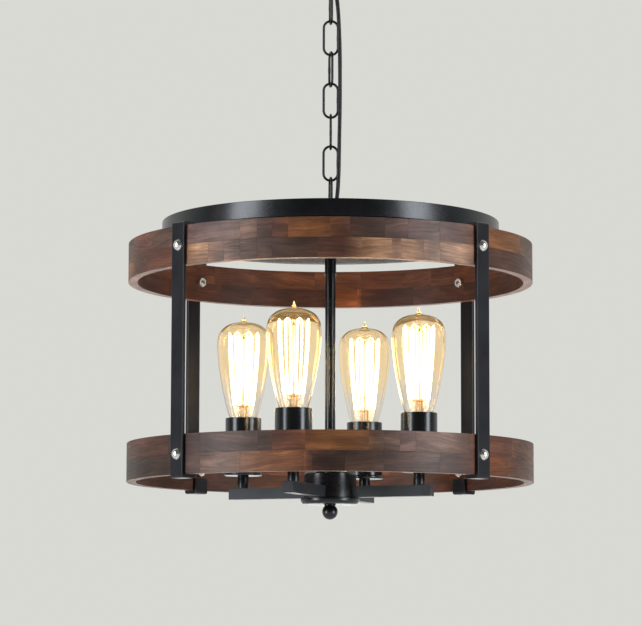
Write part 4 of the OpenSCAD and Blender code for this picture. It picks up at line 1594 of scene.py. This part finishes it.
@dataclass
class WoodRing(Assembly):
    """A ring of two glued courses of short wood blocks."""

    view: Viewpoint = field(default_factory=Viewpoint)
    name: str = "ring"
    top: float = 0.0
    upper: Course | None = None
    lower: Course | None = None
    ease_width: float = 0.15
    shortest: float = 26.0
    longest: float = 84.0
    last_share: float = 1.6
    arc_step: float = 1.6
    grain_slope: float = 3.5
    grain_room: float = 40.0
    shades: Flat = (0.95, 1.06)
    common: tuple[Stain, ...] = (Stain.RUST, Stain.DARK_RED, Stain.UMBER, Stain.OLIVE, Stain.TAUPE,
                                 Stain.DUSK, Stain.HONEY_BROWN, Stain.RUST, Stain.OLIVE)
    # Painted light and shade on the inner walls: a lighter upper half, a darker lower half as if in shade, a
    # painted glow of lamp light between two turns, and how much of these covers the stain
    inner_painted_light: Rgb = linear(124, 74, 50)
    inner_painted_shade: Rgb = linear(80, 44, 33)
    inner_painted_lamp_glow: Rgb = linear(172, 98, 54)
    painted_lamp_glow_turns: Flat = (80.0, 89.0)
    painted_inner_share: float = 0.75
    soft_end: float = 4.5
    end_share: float = 0.5
    # A pale painted highlight on the ring's bottom faces, standing in for bright light reflected there
    underside_painted_highlight: Rgb = linear(172, 132, 114)
    level_normal: float = 0.7
    inward_normal: float = 0.5

    def build(self) -> None:
        """Saw, glue and ease every block of the ring."""
        middle = self.top - RING_HEIGHT / 2
        parts = []
        for course, low, high in ((self.upper, middle, self.top),
                                  (self.lower, self.top - RING_HEIGHT, middle)):
            layout = self._layout(course, (low + high) / 2)
            for number, (start, end, stain) in enumerate(layout):
                beside = (layout[number - 1][2], layout[(number + 1) % len(layout)][2])
                seed = course.seed * 100 + number
                parts.append(self._saw(WoodBlock(low, high, start, end, stain, beside, seed)))
        ring = join(f"{self.name}_blocks", parts)
        ease(ring, self.ease_width, 1, 50)
        self.fit(ring, Finish.WOOD, "drum", self.name)

    def _layout(self, course: Course, height: float) -> list[tuple[float, float, Stain]]:
        """Lay out a course's blocks round the ring.

        Args:
            course: The course.
            height: Its middle height.

        Returns:
            Start, end and stain of each block, in degrees.
        """
        draw = random.Random(course.seed)
        layout = []
        start = first = self.view.turn_at(course.first_column, RING_OUTER, height)
        for stain, column in course.blocks:
            end = self.view.turn_at(column, RING_OUTER, height)
            layout.append((start, end, stain))
            start = end
        last, before = first + 360, course.blocks[-1][0]
        while last - start > 1e-6:
            length = math.degrees(draw.uniform(self.shortest, self.longest) / RING_OUTER)
            end = start + length if last - start > length * self.last_share else last
            choices = [stain for stain in self.common if stain is not before]
            before = draw.choice(choices)
            layout.append((start, end, before))
            start = end
        return layout

    def _saw(self, plan: WoodBlock) -> bpy.types.Object:
        """Sweep one block along the ring, and give it its stain and the run of its grain.

        Args:
            plan: The block's plan.

        Returns:
            The block.
        """
        begin()
        bpy.ops.mesh.primitive_plane_add(size=MM)
        piece = bpy.context.object
        open_mesh(piece)
        mesh = bmesh.from_edit_mesh(piece.data)
        mesh.faces.ensure_lookup_table()
        corners = ((RING_INNER, plan.low), (RING_OUTER, plan.low),
                   (RING_OUTER, plan.high), (RING_INNER, plan.high))
        for loop, (radius, height) in zip(mesh.faces[0].loops, corners):
            loop.vert.co = Vector(polar(plan.start, radius, height)) * MM
        bmesh.update_edit_mesh(piece.data)
        bpy.ops.mesh.select_all(action="SELECT")
        arc = plan.end - plan.start
        bpy.ops.mesh.spin(steps=max(3, round(arc / self.arc_step)), angle=-math.radians(arc),
                          center=(0, 0, 0), axis=(0, 0, 1))
        bpy.ops.mesh.select_all(action="SELECT")
        bpy.ops.mesh.remove_doubles(threshold=1e-7)
        bpy.ops.mesh.normals_make_consistent(inside=False)
        hold(piece)
        self._stain(piece.data, plan)
        return piece

    def _stain(self, mesh: bpy.types.Mesh, plan: WoodBlock) -> None:
        """Write a block's stain, with its painted light and shade, and its grain map into its mesh.

        Args:
            mesh: The block's mesh.
            plan: The block's plan.
        """
        draw = random.Random(plan.seed)
        slope = math.radians(draw.gauss(0, self.grain_slope))
        shift = (draw.uniform(0, self.grain_room), draw.uniform(0, self.grain_room))
        shade = draw.uniform(*self.shades)
        while mesh.uv_layers:
            mesh.uv_layers.remove(mesh.uv_layers[0])
        mesh.uv_layers.new(name=GRAIN_LAYER)
        mesh.color_attributes.new(name=STAIN_AND_LIGHT_LAYER, type="FLOAT_COLOR", domain="CORNER")
        grain, tone = mesh.uv_layers[GRAIN_LAYER], mesh.color_attributes[STAIN_AND_LIGHT_LAYER]
        for face in mesh.polygons:
            for corner in face.loop_indices:
                spot = mesh.vertices[mesh.loops[corner].vertex_index].co
                turn = math.atan2(spot.y, spot.x) % FULL_TURN
                along = turn * RING_OUTER * MM
                across = math.hypot(spot.x, spot.y) if abs(face.normal.z) > self.level_normal else spot.z
                u = along * math.cos(slope) - across * math.sin(slope) + shift[0]
                v = along * math.sin(slope) + across * math.cos(slope) + shift[1]
                grain.data[corner].uv = (u, v)
                shown = self._shown(plan, face, math.degrees(turn))
                tone.data[corner].color = (*(part * shade for part in shown), 1.0)

    def _shown(self, plan: WoodBlock, face: bpy.types.MeshPolygon, turn: float) -> Rgb:
        """Say which colour shows at one corner of a block's face: its stain, with painted light and shade on
        inner walls and a painted highlight on the underside.

        Args:
            plan: The block's plan.
            face: The face.
            turn: The corner's direction in degrees.

        Returns:
            The stain, which takes some of a neighbour's near a glued end; on the underside a painted
            highlight instead, and on the inner walls the stain mixed with painted light and shade.
        """
        normal, middle = face.normal, face.center
        # The ring's bottom faces get the pale painted highlight
        if normal.z < -self.level_normal and middle.z < (self.top - RING_HEIGHT + 1) * MM:
            return self.underside_painted_highlight
        outer = plan.stain.value
        reach = min(self.soft_end, (plan.end - plan.start) / 2)
        for end, other in zip((plan.start, plan.end), plan.beside):
            away = abs((turn - end + 180) % 360 - 180)
            outer = mixed(outer, other.value, self.end_share * max(0.0, 1 - away / reach))
        outward = normal.x * middle.x + normal.y * middle.y
        if outward >= -self.inward_normal * math.hypot(middle.x, middle.y):
            return outer
        # Inner walls: painted light on the upper half, painted shade on the lower half, and a painted lamp
        # glow between two turns
        if middle.z > (self.top - RING_HEIGHT / 2) * MM:
            return mixed(outer, self.inner_painted_light, self.painted_inner_share)
        in_painted_lamp_glow = self.painted_lamp_glow_turns[0] < turn < self.painted_lamp_glow_turns[1]
        return mixed(outer, self.inner_painted_lamp_glow if in_painted_lamp_glow else self.inner_painted_shade, self.painted_inner_share)


@dataclass
class Straps(Assembly):
    """Four flat straps hooked round the rings, with their domed bolts and nuts."""

    width: float = 20.0
    thickness: float = 4.0
    gap: float = 0.2
    bend: float = 3.0
    lip_height: float = 15.0
    bolt_width: float = 13.0
    bolt_height: float = 4.5
    nut_corners: float = 11.5
    nut_height: float = 4.5
    nut_gap: float = 0.1
    shank: float = 2.5
    pitch: float = 0.8
    thread_depth: float = 0.35
    tail_length: float = 1.2
    tail_bevel: float = 0.5
    dome_steps: int = 10

    def build(self) -> None:
        """Build the straps and their fasteners."""
        for number, turn in enumerate(STRAP_TURNS, 1):
            strap = self._strap(f"strap_{number}_flat")
            settle(strap, stand(turn))
            self.fit(strap, Finish.STRAP_BLACK, "drum", f"strap_{number}")
        self._bolts()
        self._nuts()

    def _strap(self, name: str) -> bpy.types.Object:
        """Bend one strap: a flange over the upper ring and a hook under the lower one.

        Args:
            name: The piece's name.

        Returns:
            The strap, pointing to +X.
        """
        inner = RING_OUTER + self.gap
        outer = inner + self.thickness
        flange_low = UPPER_RING_TOP + self.gap
        top = flange_low + self.thickness
        foot_top = LOWER_RING_TOP - RING_HEIGHT - self.gap
        foot = foot_top - self.thickness
        lip_out = math.sqrt(RING_INNER ** 2 - (self.width / 2) ** 2) - self.gap
        lip_in = lip_out - self.thickness
        lip_top = foot_top + self.lip_height
        outline = soften((
            Corner(RING_INNER, top, 0.5), Corner(RING_INNER, flange_low, 0.5), Corner(inner, flange_low),
            Corner(inner, foot_top), Corner(lip_out, foot_top), Corner(lip_out, lip_top, 0.5),
            Corner(lip_in, lip_top, 0.5), Corner(lip_in, foot, self.bend), Corner(outer, foot, self.bend),
            Corner(outer, top, self.bend)))
        half = self.width / 2
        strap = slab(name, [(across, -half, height) for across, height in outline], (0, self.width, 0))
        slice_at(strap, [((across, 0, 0), (1, 0, 0)) for across in (lip_out, inner)]
                 + [((0, 0, height), (0, 0, 1)) for height in (flange_low, lip_top, foot_top)])
        return ease(strap, 0.7, 2, 50)

    def _spread(self, name: str, pattern: bpy.types.Object) -> bpy.types.Object:
        """Copy a fastener to every bolt hole.

        Args:
            name: The joined piece's name.
            pattern: The fastener, modelled along +Z and used up.

        Returns:
            All of them as one piece.
        """
        parts = []
        for turn in STRAP_TURNS:
            for height in RING_MIDDLES:
                spin = Matrix.Rotation(math.radians(turn * 0.7 + height), 4, "Z")
                place = stand(turn, 0, height) @ Matrix.Rotation(math.pi / 2, 4, "Y") @ spin
                parts.append(copy_of(pattern, "fastener", place))
        bpy.data.objects.remove(pattern, do_unlink=True)
        return join(name, parts)

    def _nut_seat(self) -> float:
        """Say how far from the axis a nut rests inside the ring."""
        return math.sqrt(RING_INNER ** 2 - (self.nut_corners / 2) ** 2) - self.nut_gap

    def _bolts(self) -> None:
        """Turn one carriage bolt, with a domed head and a threaded tail."""
        seat = RING_OUTER + self.gap + self.thickness
        tail, bevel = self._nut_seat() - self.nut_height - self.tail_length, self.tail_bevel
        radius = self.bolt_width / 2
        dome_r = (radius ** 2 + self.bolt_height ** 2) / (2 * self.bolt_height)
        profile: list[Flat] = [(0, tail), (self.shank - bevel, tail), (self.shank, tail + bevel)]
        for number in range(1, int((RING_INNER - tail) / self.pitch)):
            height = tail + bevel + number * self.pitch
            profile += [(self.shank - self.thread_depth, height - self.pitch / 2), (self.shank, height)]
        profile += [(self.shank, seat), (radius - 0.2, seat), (radius, seat + 0.35)]
        limit = math.asin(radius / dome_r)
        for step in range(1, self.dome_steps + 1):
            turn = limit * (1 - step / self.dome_steps)
            profile.append((dome_r * math.sin(turn), seat + self.bolt_height - dome_r * (1 - math.cos(turn))))
        bolt = lathe("bolt", profile, 36, False, 30)
        self.fit(self._spread("strap_carriage_bolts", bolt), Finish.SILVER, "drum", "strap_bolts")

    def _nuts(self) -> None:
        """Cut one nut and copy it inside the rings."""
        seat = self._nut_seat()
        nut = hex_nut("nut", self.nut_corners, self.shank + 0.15, seat - self.nut_height, seat)
        self.fit(self._spread("strap_hex_nuts", nut), Finish.NUT_SILVER_PAINTED_LIGHT, "drum", "strap_nuts")


# The column on the drum's axis, and the lamp arms


@dataclass
class Column(Assembly):
    """Coupling, rod, hub, its cover and the ball finial."""

    coupling_width: float = 13.5
    lip_width: float = 15.0
    lip_height: float = 1.2
    rod_width: float = 12.4
    spigot: float = 5.0
    spigot_depth: float = 12.0
    hub_width: float = 62.0
    hub_edge: float = 4.0
    hub_wall: float = 2.0
    notch_start: float = 23.0
    notch_gap: float = 0.2
    cover_width: float = 69.5
    cover_edge: float = 4.5
    ball: float = 18.4
    ball_steps: int = 24
    foot_width: float = 14.0
    foot_height: float = 1.4
    pin: float = 3.3
    pin_length: float = 9.0
    sink: float = 2.0

    def build(self) -> None:
        """Build everything on the drum's axis."""
        self._coupling()
        self._rod()
        self._hub()
        self._finial()
        self.keep("inner_leads", Finish.LEAD_WIRE)

    def _coupling(self) -> None:
        """Turn the coupling with its lip."""
        radius, lip = self.coupling_width / 2, self.lip_width / 2
        low, top, lip_top = COUPLING_BOTTOM, UPPER_RING_TOP, COUPLING_BOTTOM + self.lip_height
        coupling = turned("rod_coupling_sleeve", (
            Corner(NIPPLE_HOLE, low), Corner(lip, low, 0.35), Corner(lip, lip_top, 0.35),
            Corner(radius, lip_top, 0.2), Corner(radius, top, 0.5), Corner(NIPPLE_HOLE, top)), 48)
        self.fit(coupling, Finish.BLACK_SATIN, "drum", "rod_coupling")

    def _rod(self) -> None:
        """Turn the rod, with its spigots."""
        radius, spigot, top = self.rod_width / 2, self.spigot, COUPLING_BOTTOM + self.spigot_depth
        rod = turned("centre_rod_tube", (
            Corner(NIPPLE_BORE, COVER_BOTTOM), Corner(spigot, COVER_BOTTOM), Corner(spigot, HUB_TOP),
            Corner(radius, HUB_TOP, 0.4), Corner(radius, COUPLING_BOTTOM, 0.4),
            Corner(spigot, COUPLING_BOTTOM), Corner(spigot, top), Corner(NIPPLE_BORE, top)), 48)
        self.fit(rod, Finish.BLACK_SATIN, "drum", "centre_rod")

    def _hub(self) -> None:
        """Press the hub's shell, notch it over the arms and close it with its cover."""
        radius, wall = self.hub_width / 2, self.hub_wall
        hub = turned("hub_shell", (
            Corner(NIPPLE_HOLE, HUB_TOP - wall), Corner(NIPPLE_HOLE, HUB_TOP),
            Corner(radius, HUB_TOP, self.hub_edge), Corner(radius, COVER_TOP),
            Corner(radius - wall, COVER_TOP),
            Corner(radius - wall, HUB_TOP - wall, self.hub_edge - wall)), 96)
        half, notch_top = ARM_SIZE / 2 + self.notch_gap, ARM_TOP + self.notch_gap
        for turn in ARM_TURNS:
            notch = block("notch", (self.notch_start, -half, COVER_TOP - 1),
                          (self.hub_width, half, notch_top))
            settle(notch, stand(turn))
            combine(hub, notch, "DIFFERENCE")
        tidy_mesh(hub)
        self.fit(hub, Finish.BLACK_SATIN, "drum", "hub_body")
        radius = self.cover_width / 2
        cover = turned("hub_cover_disc", (
            Corner(NIPPLE_HOLE, COVER_TOP), Corner(NIPPLE_HOLE, COVER_BOTTOM),
            Corner(radius, COVER_BOTTOM, self.cover_edge), Corner(radius, COVER_TOP, 0.8)), 112)
        self.fit(cover, Finish.BLACK_SATIN, "drum", "hub_cover")

    def _finial(self) -> None:
        """Turn the ball finial with its foot."""
        radius, foot_radius = self.ball / 2, self.foot_width / 2
        foot, pin_top = COVER_BOTTOM - self.foot_height, COVER_BOTTOM + self.pin_length
        centre = foot - radius + self.sink
        profile: list[Flat] = [
            (0, pin_top), (self.pin, pin_top), (self.pin, COVER_BOTTOM), (foot_radius - 0.2, COVER_BOTTOM),
            (foot_radius, COVER_BOTTOM - 0.3), (foot_radius, foot + 0.4), (foot_radius - 0.5, foot)]
        first = math.acos(min(1.0, (foot - centre) / radius))
        for step in range(self.ball_steps):
            turn = first + (math.pi - first) * step / self.ball_steps
            profile.append((radius * math.sin(turn), centre + radius * math.cos(turn)))
        profile.append((0, centre - radius))
        finial = lathe("ball_finial", profile, 64, False, 30)
        self.fit(finial, Finish.BLACK_SATIN, "drum", "finial")


@dataclass
class LampArms(Assembly):
    """Four square arms, each with a stem, a socket cup and a lamp holder."""

    inner_end: float = 23.0
    outer_end: float = 128.0
    tube_wall: float = 1.3
    plate_sink: float = 0.35
    stem_width: float = 13.4
    stem_height: float = 15.2
    stem_bore: float = 3.0
    spigot: float = 4.5
    spigot_length: float = 3.0
    cup_width: float = 43.0
    cup_wall: float = 1.5
    cup_height: float = 69.0
    base: float = 2.0
    rim_width: float = 45.6
    rim_height: float = 4.0
    hole: float = 4.7
    holder_width: float = 35.0
    holder_top: float = 60.7
    holder_floor: float = 34.7
    thread: float = 13.3
    thread_turns: int = 6

    def build(self) -> None:
        """Build one of each and copy them to the four arms."""
        arm, stem, cup, holder = self._arm(), self._stem(), self._cup(), self._holder()
        stems, holders = [], []
        for number, turn in enumerate(ARM_TURNS, 1):
            arm_copy = copy_of(arm, f"square_arm_{number}", stand(turn))
            self.fit(arm_copy, Finish.ARM_BLACK_PAINTED_SHEEN, "drum", f"arm_{number}")
            cup_copy = copy_of(cup, f"cup_shell_{number}", stand(turn, SOCKET_RADIUS, CUP_BOTTOM))
            self.fit(cup_copy, Finish.SOCKET_BLACK, "drum", f"socket_cup_{number}")
            stems.append(copy_of(stem, "stem", stand(turn, SOCKET_RADIUS, ARM_TOP)))
            holders.append(copy_of(holder, "holder", stand(turn, SOCKET_RADIUS, CUP_BOTTOM)))
        self.fit(join("turned_stems", stems), Finish.BLACK_SATIN, "drum", "socket_stems")
        self.fit(join("threaded_holders", holders), Finish.HOLDER_CERAMIC, "drum", "lamp_holders")
        for pattern in (arm, stem, cup, holder):
            bpy.data.objects.remove(pattern, do_unlink=True)

    def _arm(self) -> bpy.types.Object:
        """Model a square tube with round corners and a plate let into its outer end."""
        half = ARM_SIZE / 2
        arm = block("arm", (self.inner_end, -half, COVER_TOP), (self.outer_end, half, ARM_TOP))
        open_mesh(arm)
        pick(arm, Pick.FACES, lambda spot: spot.x > self.outer_end - 1)
        bpy.ops.mesh.inset(thickness=self.tube_wall * MM)
        bpy.ops.mesh.extrude_region_move(TRANSFORM_OT_translate={"value": (-self.plate_sink * MM, 0, 0)})
        return ease(tidy_mesh(arm), 0.9, 3, 60)

    def _stem(self) -> bpy.types.Object:
        """Turn a stem with its two spigots."""
        radius, height = self.stem_width / 2, self.stem_height
        bore, spigot, length = self.stem_bore, self.spigot, self.spigot_length
        return turned("stem", (
            Corner(bore, -length), Corner(spigot, -length), Corner(spigot, 0), Corner(radius, 0, 0.5),
            Corner(radius, height, 0.5), Corner(spigot, height), Corner(spigot, height + length),
            Corner(bore, height + length)), 48)

    def _cup(self) -> bpy.types.Object:
        """Turn a cup with a round rim about its base and a rolled mouth."""
        radius, wall, rim = self.cup_width / 2, self.cup_wall, self.rim_width / 2
        bead = self.rim_height / 2 - 0.05
        return turned("cup", (
            Corner(self.hole, self.base), Corner(self.hole, 0), Corner(rim, 0, bead),
            Corner(rim, self.rim_height, bead), Corner(radius, self.rim_height, 0.05),
            Corner(radius, self.cup_height, 0.6),
            Corner(radius - wall, self.cup_height, 0.6), Corner(radius - wall, self.base, 1.5)), 96)

    def _holder(self) -> bpy.types.Object:
        """Turn an insulated holder with a round thread in its bore and a contact floor."""
        flange, radius = self.cup_width / 2 - self.cup_wall - 0.3, self.holder_width / 2
        top, floor, thread = self.holder_top, self.holder_floor, self.thread
        profile: list[Flat] = [
            (0, 12), (8, 12), (8, 2), (flange, 2), (flange, 6), (radius, 6.5), (radius, 56.2), (flange, 56.7),
            (flange, top - 0.6), (flange - 0.6, top), (thread + 1.2, top), (thread + 0.4, top - 0.8),
            *round_thread(thread, top - 2.2, self.thread_turns, -1),
            (thread, floor + 0.4), (thread - 0.4, floor), (0, floor)]
        return lathe("holder", profile, 56, False, 40)


# The bulbs


@dataclass
class Bulbs(Assembly):
    """Four drop-shaped bulbs: glass, screw cap, stem and squirrel-cage filament."""

    cap_radius: float = 13.0
    cap_height: float = 26.0
    cap_wall: float = 0.6
    thread_start: float = 6.4
    thread_turns: int = 4
    glass_width: float = 64.0
    glass_wall: float = 1.0
    side_steps: int = 16
    length: float = 158.0
    tip: float = 8.5
    crown: float = 27.5
    pairs: int = 8
    spread: float = 8.6
    low_spread: float = 1.3
    facing: float = 22.5
    facing_step: float = 2.0
    cage_top: float = 136.0
    cage_low: float = 50.0
    cage_top_radius: float = 18.2
    cage_low_radius: float = 12.0
    strand: float = 0.8
    support: float = 0.3
    lead: float = 0.5
    wire_sides: int = 6
    wire_cuts: int = 3

    def build(self) -> None:
        """Model one bulb and copy it to the four holders."""
        patterns = (
            ("bulb_envelope", self._glass(), Finish.GLASS, "bulb_glass"),
            ("screw_cap", self._cap(), Finish.BRASS, "bulb_cap"),
            ("cap_insulator", self._insulator(), Finish.BASE_GLAZE, "bulb_cap"),
            ("glass_stem", self._stem(), Finish.STEM_GLASS, "bulb_filament"),
            ("support_wires", self._supports(), Finish.SUPPORT, "bulb_filament"),
            ("filament_cage", self._cage(), Finish.GLOW, "bulb_filament"))
        for number, turn in enumerate(ARM_TURNS, 1):
            own_turn = math.radians(self.facing - turn + self.facing_step * (number - 2))
            place = stand(turn, SOCKET_RADIUS, CONTACT) @ Matrix.Rotation(own_turn, 4, "Z")
            for name, pattern, finish, node in patterns:
                piece = copy_of(pattern, f"{name}_{number}", place)
                self.fit(piece, finish, f"bulb_{number}", f"{node}_{number}")
                if finish is Finish.GLASS:
                    piece.visible_shadow = False
                    piece.visible_diffuse = False
        for _, pattern, _, _ in patterns:
            bpy.data.objects.remove(pattern, do_unlink=True)

    def _side(self, inward: float) -> list[Flat]:
        """Draw the drop's side from its neck to its dome.

        Args:
            inward: How far inside the outer face it lies.

        Returns:
            Radius and height of its points.
        """
        radius, top = self.glass_width / 2 - inward, self.length - self.tip
        belly = top - self.crown
        low = self.cap_height + 0.3 + inward
        lower = ((self.cap_radius + 0.6 - inward, low), (self.cap_radius + 6.5 - inward, low + 9.7),
                 (radius, belly - 30), (radius, belly))
        upper = ((radius, belly + 1), (radius, belly + self.crown * 0.62 - inward),
                 (self.glass_width * 0.375 - inward, top - 1.5 - inward), (6 - inward, top - inward))
        points: list[Flat] = []
        for curve in (lower, upper):
            for step in range(self.side_steps + 1):
                t = step / self.side_steps
                u = 1 - t
                points.append(tuple(u ** 3 * a + 3 * u * u * t * b + 3 * u * t * t * c + t ** 3 * d
                                    for a, b, c, d in zip(*curve)))
        return points

    def _glass(self) -> bpy.types.Object:
        """Blow the drop with its drawn tip, as a closed wall."""
        top, wall = self.length - self.tip, self.glass_wall
        neck = self.cap_radius - 1.2
        tip = [(4.9, top + 0.4), (3.8, top + 1.1), (2.8, top + 2.3), (2.0, top + 3.9), (1.4, top + 5.6),
               (1.05, self.length - 1.4), (0.7, self.length - 0.4), (0, self.length)]
        mouth = self.cap_height + 0.3
        profile = [(0, top - wall), *reversed(self._side(wall)), (neck - wall, mouth), (neck - wall, 20),
                   (neck, 20), (neck, mouth), *self._side(0), *tip]
        return lathe("envelope", profile, 72, False, 60)

    def _cap(self) -> bpy.types.Object:
        """Roll the screw shell with its round thread."""
        radius, core, wall = self.cap_radius, self.cap_radius - SCREW_DEPTH, self.cap_wall
        top = self.thread_start + self.thread_turns * SCREW_PITCH
        profile: list[Flat] = [
            (9.5, 4.6), (radius - 1.2, 5.6), *round_thread(core, self.thread_start, self.thread_turns, 1),
            (core, top), (radius - 0.8, top + 0.8), (radius, top + 1.6), (radius, self.cap_height),
            (radius - wall, self.cap_height), (radius - wall, top + 1.9), (core - wall, top),
            (core - wall, self.thread_start + 0.2), (9.5, 5.4)]
        return lathe("cap", profile, 64, True, 50)

    def _insulator(self) -> bpy.types.Object:
        """Turn the black glass foot under the cap, with the bump of its contact."""
        profile = [(0, 0), (2.6, 0.15), (4.2, 0.8), (4.5, 1.6), (6.2, 2.4), (9.4, 4.5), (9.6, 5.2),
                   (9.0, 5.6), (0, 5.6)]
        return lathe("insulator", profile, 48, False, 40)

    def _stem(self) -> bpy.types.Object:
        """Draw the glass stem: a flare in the neck, a tube, a pinch and a rod with two buttons."""
        low, top = self.cage_low, self.cage_top
        profile = [(0, 19.8), (9.6, 19.8), (10.2, 20.6), (9.4, 22.4), (7.6, 26), (6.4, 30), (5.6, 36),
                   (5.2, low - 4), (4.9, low + 6), (4.4, low + 14), (3.0, low + 20), (1.8, low + 24),
                   (1.6, top - 8), (2.6, top - 5), (3.2, top - 2.5), (2.6, top - 0.5), (1.2, top + 0.8),
                   (0, top + 1)]
        return lathe("stem", profile, 40, False, 60)

    def _rod(self, start: Point, end: Point, radius: float, bow: float = 0.0) -> bpy.types.Object:
        """Draw a thin wire between two points, bowed outward in its middle.

        Args:
            start: Its first end.
            end: Its other end.
            radius: Its radius.
            bow: How far its middle moves out from the axis.

        Returns:
            The wire.
        """
        first, last = Vector(start), Vector(end)
        run = last - first
        begin()
        bpy.ops.mesh.primitive_cylinder_add(
            vertices=self.wire_sides, radius=radius * MM, depth=run.length * MM)
        wire = bpy.context.object
        open_mesh(wire)
        pick(wire, Pick.EDGES, lambda spot: abs(spot.z) < 1e-3)
        bpy.ops.mesh.subdivide_edgering(number_cuts=self.wire_cuts, interpolation="LINEAR")
        hold(wire)
        place = Matrix.Translation((first + last) / 2 * MM) @ run.to_track_quat("Z", "Y").to_matrix().to_4x4()
        settle(wire, place)
        if bow:
            for vert in wire.data.vertices:
                share = (vert.co / MM - first).dot(run) / run.length_squared
                away = Vector((vert.co.x, vert.co.y, 0)).normalized()
                vert.co += away * bow * MM * math.sin(math.pi * min(1.0, max(0.0, share)))
        return wire

    def _cage(self) -> bpy.types.Object:
        """Wind the filament up and down between its hooks, two strands to a hook."""
        step = 360 / self.pairs
        radius, top = self.cage_top_radius, self.cage_top
        strands = [
            self._rod(polar(side * self.spread * self.low_spread, self.cage_low_radius, self.cage_low),
                      polar(side * self.spread, radius, top - 1.5), self.strand, 1.2) for side in (-1, 1)]
        strands += [
            self._rod(polar(side * self.spread, radius, top - 1.6), polar(0, radius, top + 0.6),
                      self.strand * 0.8) for side in (-1, 1)]
        pair = join("pair", strands)
        parts = [copy_of(pair, "pair", stand(step * number)) for number in range(self.pairs)]
        bpy.data.objects.remove(pair, do_unlink=True)
        return tidy_mesh(join("cage", parts), 80)

    def _supports(self) -> bpy.types.Object:
        """Set the hook wires into the stem's buttons, and run the two leads up to the cage."""
        step = 360 / self.pairs
        parts = []
        for number in range(self.pairs):
            top = polar(step * number, self.cage_top_radius, self.cage_top)
            parts.append(self._rod((0, 0, self.cage_top - 2.5), top, self.support))
            for side in (-1, 1):
                turn = step * number + side * self.spread * self.low_spread
                low = polar(turn, self.cage_low_radius, self.cage_low)
                parts.append(self._rod((0, 0, self.cage_low - 3), low, self.support))
        for side in (-1, 1):
            parts.append(self._rod((side * 2.5, 0, 22), (side * 2.2, 0, self.cage_low + 2), self.lead))
        return join("supports", parts)


# The whole light: the rings' courses, each block with the column where it ends, and the order of work
UPPER_RING_UPPER = Course(134, (
    (Stain.RUST, 152), (Stain.TAUPE, 188), (Stain.MAUVE_GREY, 240), (Stain.WARM_MAUVE, 257),
    (Stain.DUSK, 272), (Stain.RUST, 288), (Stain.HONEY_BROWN, 330), (Stain.DARK_RED, 350),
    (Stain.UMBER, 385), (Stain.DUSK, 408),
    (Stain.MAUVE_GREY, 440), (Stain.MAUVE_GREY, 473), (Stain.HONEY_BROWN, 520)), 11)
UPPER_RING_LOWER = Course(134, (
    (Stain.DARK_RED, 146), (Stain.RUST, 188), (Stain.TAN, 208), (Stain.PINK_TAN, 224), (Stain.TAUPE, 240),
    (Stain.TAUPE, 257), (Stain.DUSK, 272), (Stain.UMBER, 318), (Stain.DARK_RED, 362), (Stain.TAN, 392),
    (Stain.PINK_TAN, 401), (Stain.TAN, 424), (Stain.WARM_MAUVE, 440), (Stain.SAND, 474),
    (Stain.DARK_RED, 524)), 23)
LOWER_RING_UPPER = Course(128, (
    (Stain.DARK_RED, 168), (Stain.DUSK, 200), (Stain.DUSK, 258), (Stain.UMBER, 272), (Stain.RUST, 305),
    (Stain.HONEY_BROWN, 369), (Stain.OLIVE, 384), (Stain.TAUPE, 400), (Stain.MAUVE_GREY, 416),
    (Stain.WARM_MAUVE, 470), (Stain.RUST, 512)), 37)
LOWER_RING_LOWER = Course(128, (
    (Stain.CHOCOLATE, 176), (Stain.DUSK, 200), (Stain.WARM_MAUVE, 240), (Stain.LIGHT_ORANGE, 304),
    (Stain.DARK_RED, 312), (Stain.CHOCOLATE, 345), (Stain.UMBER, 384), (Stain.DUSK, 440), (Stain.DUSK, 474),
    (Stain.ORANGE, 508), (Stain.DARK_RED, 528)), 41)


def main() -> None:
    """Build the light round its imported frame."""
    logging.basicConfig(level=logging.INFO, format="%(name)s %(message)s")
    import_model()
    bpy.context.scene.view_settings.view_transform = "Standard"
    view = Viewpoint()
    Studio(view).build()
    finishes = Finishes()
    assemblies: Sequence[Assembly] = (
        SupplyCord(finishes), CeilingMount(finishes), Chain(finishes), DrumTop(finishes),
        WoodRing(finishes, view=view, name="upper_ring", top=UPPER_RING_TOP, upper=UPPER_RING_UPPER,
                 lower=UPPER_RING_LOWER),
        WoodRing(finishes, view=view, name="lower_ring", top=LOWER_RING_TOP, upper=LOWER_RING_UPPER,
                 lower=LOWER_RING_LOWER, painted_lamp_glow_turns=(0.0, 0.0)),
        Straps(finishes), Column(finishes), LampArms(finishes), Bulbs(finishes))
    for assembly in assemblies:
        assembly.build()
        assembly.report()
    begin()


if __name__ == "__main__":
    main()
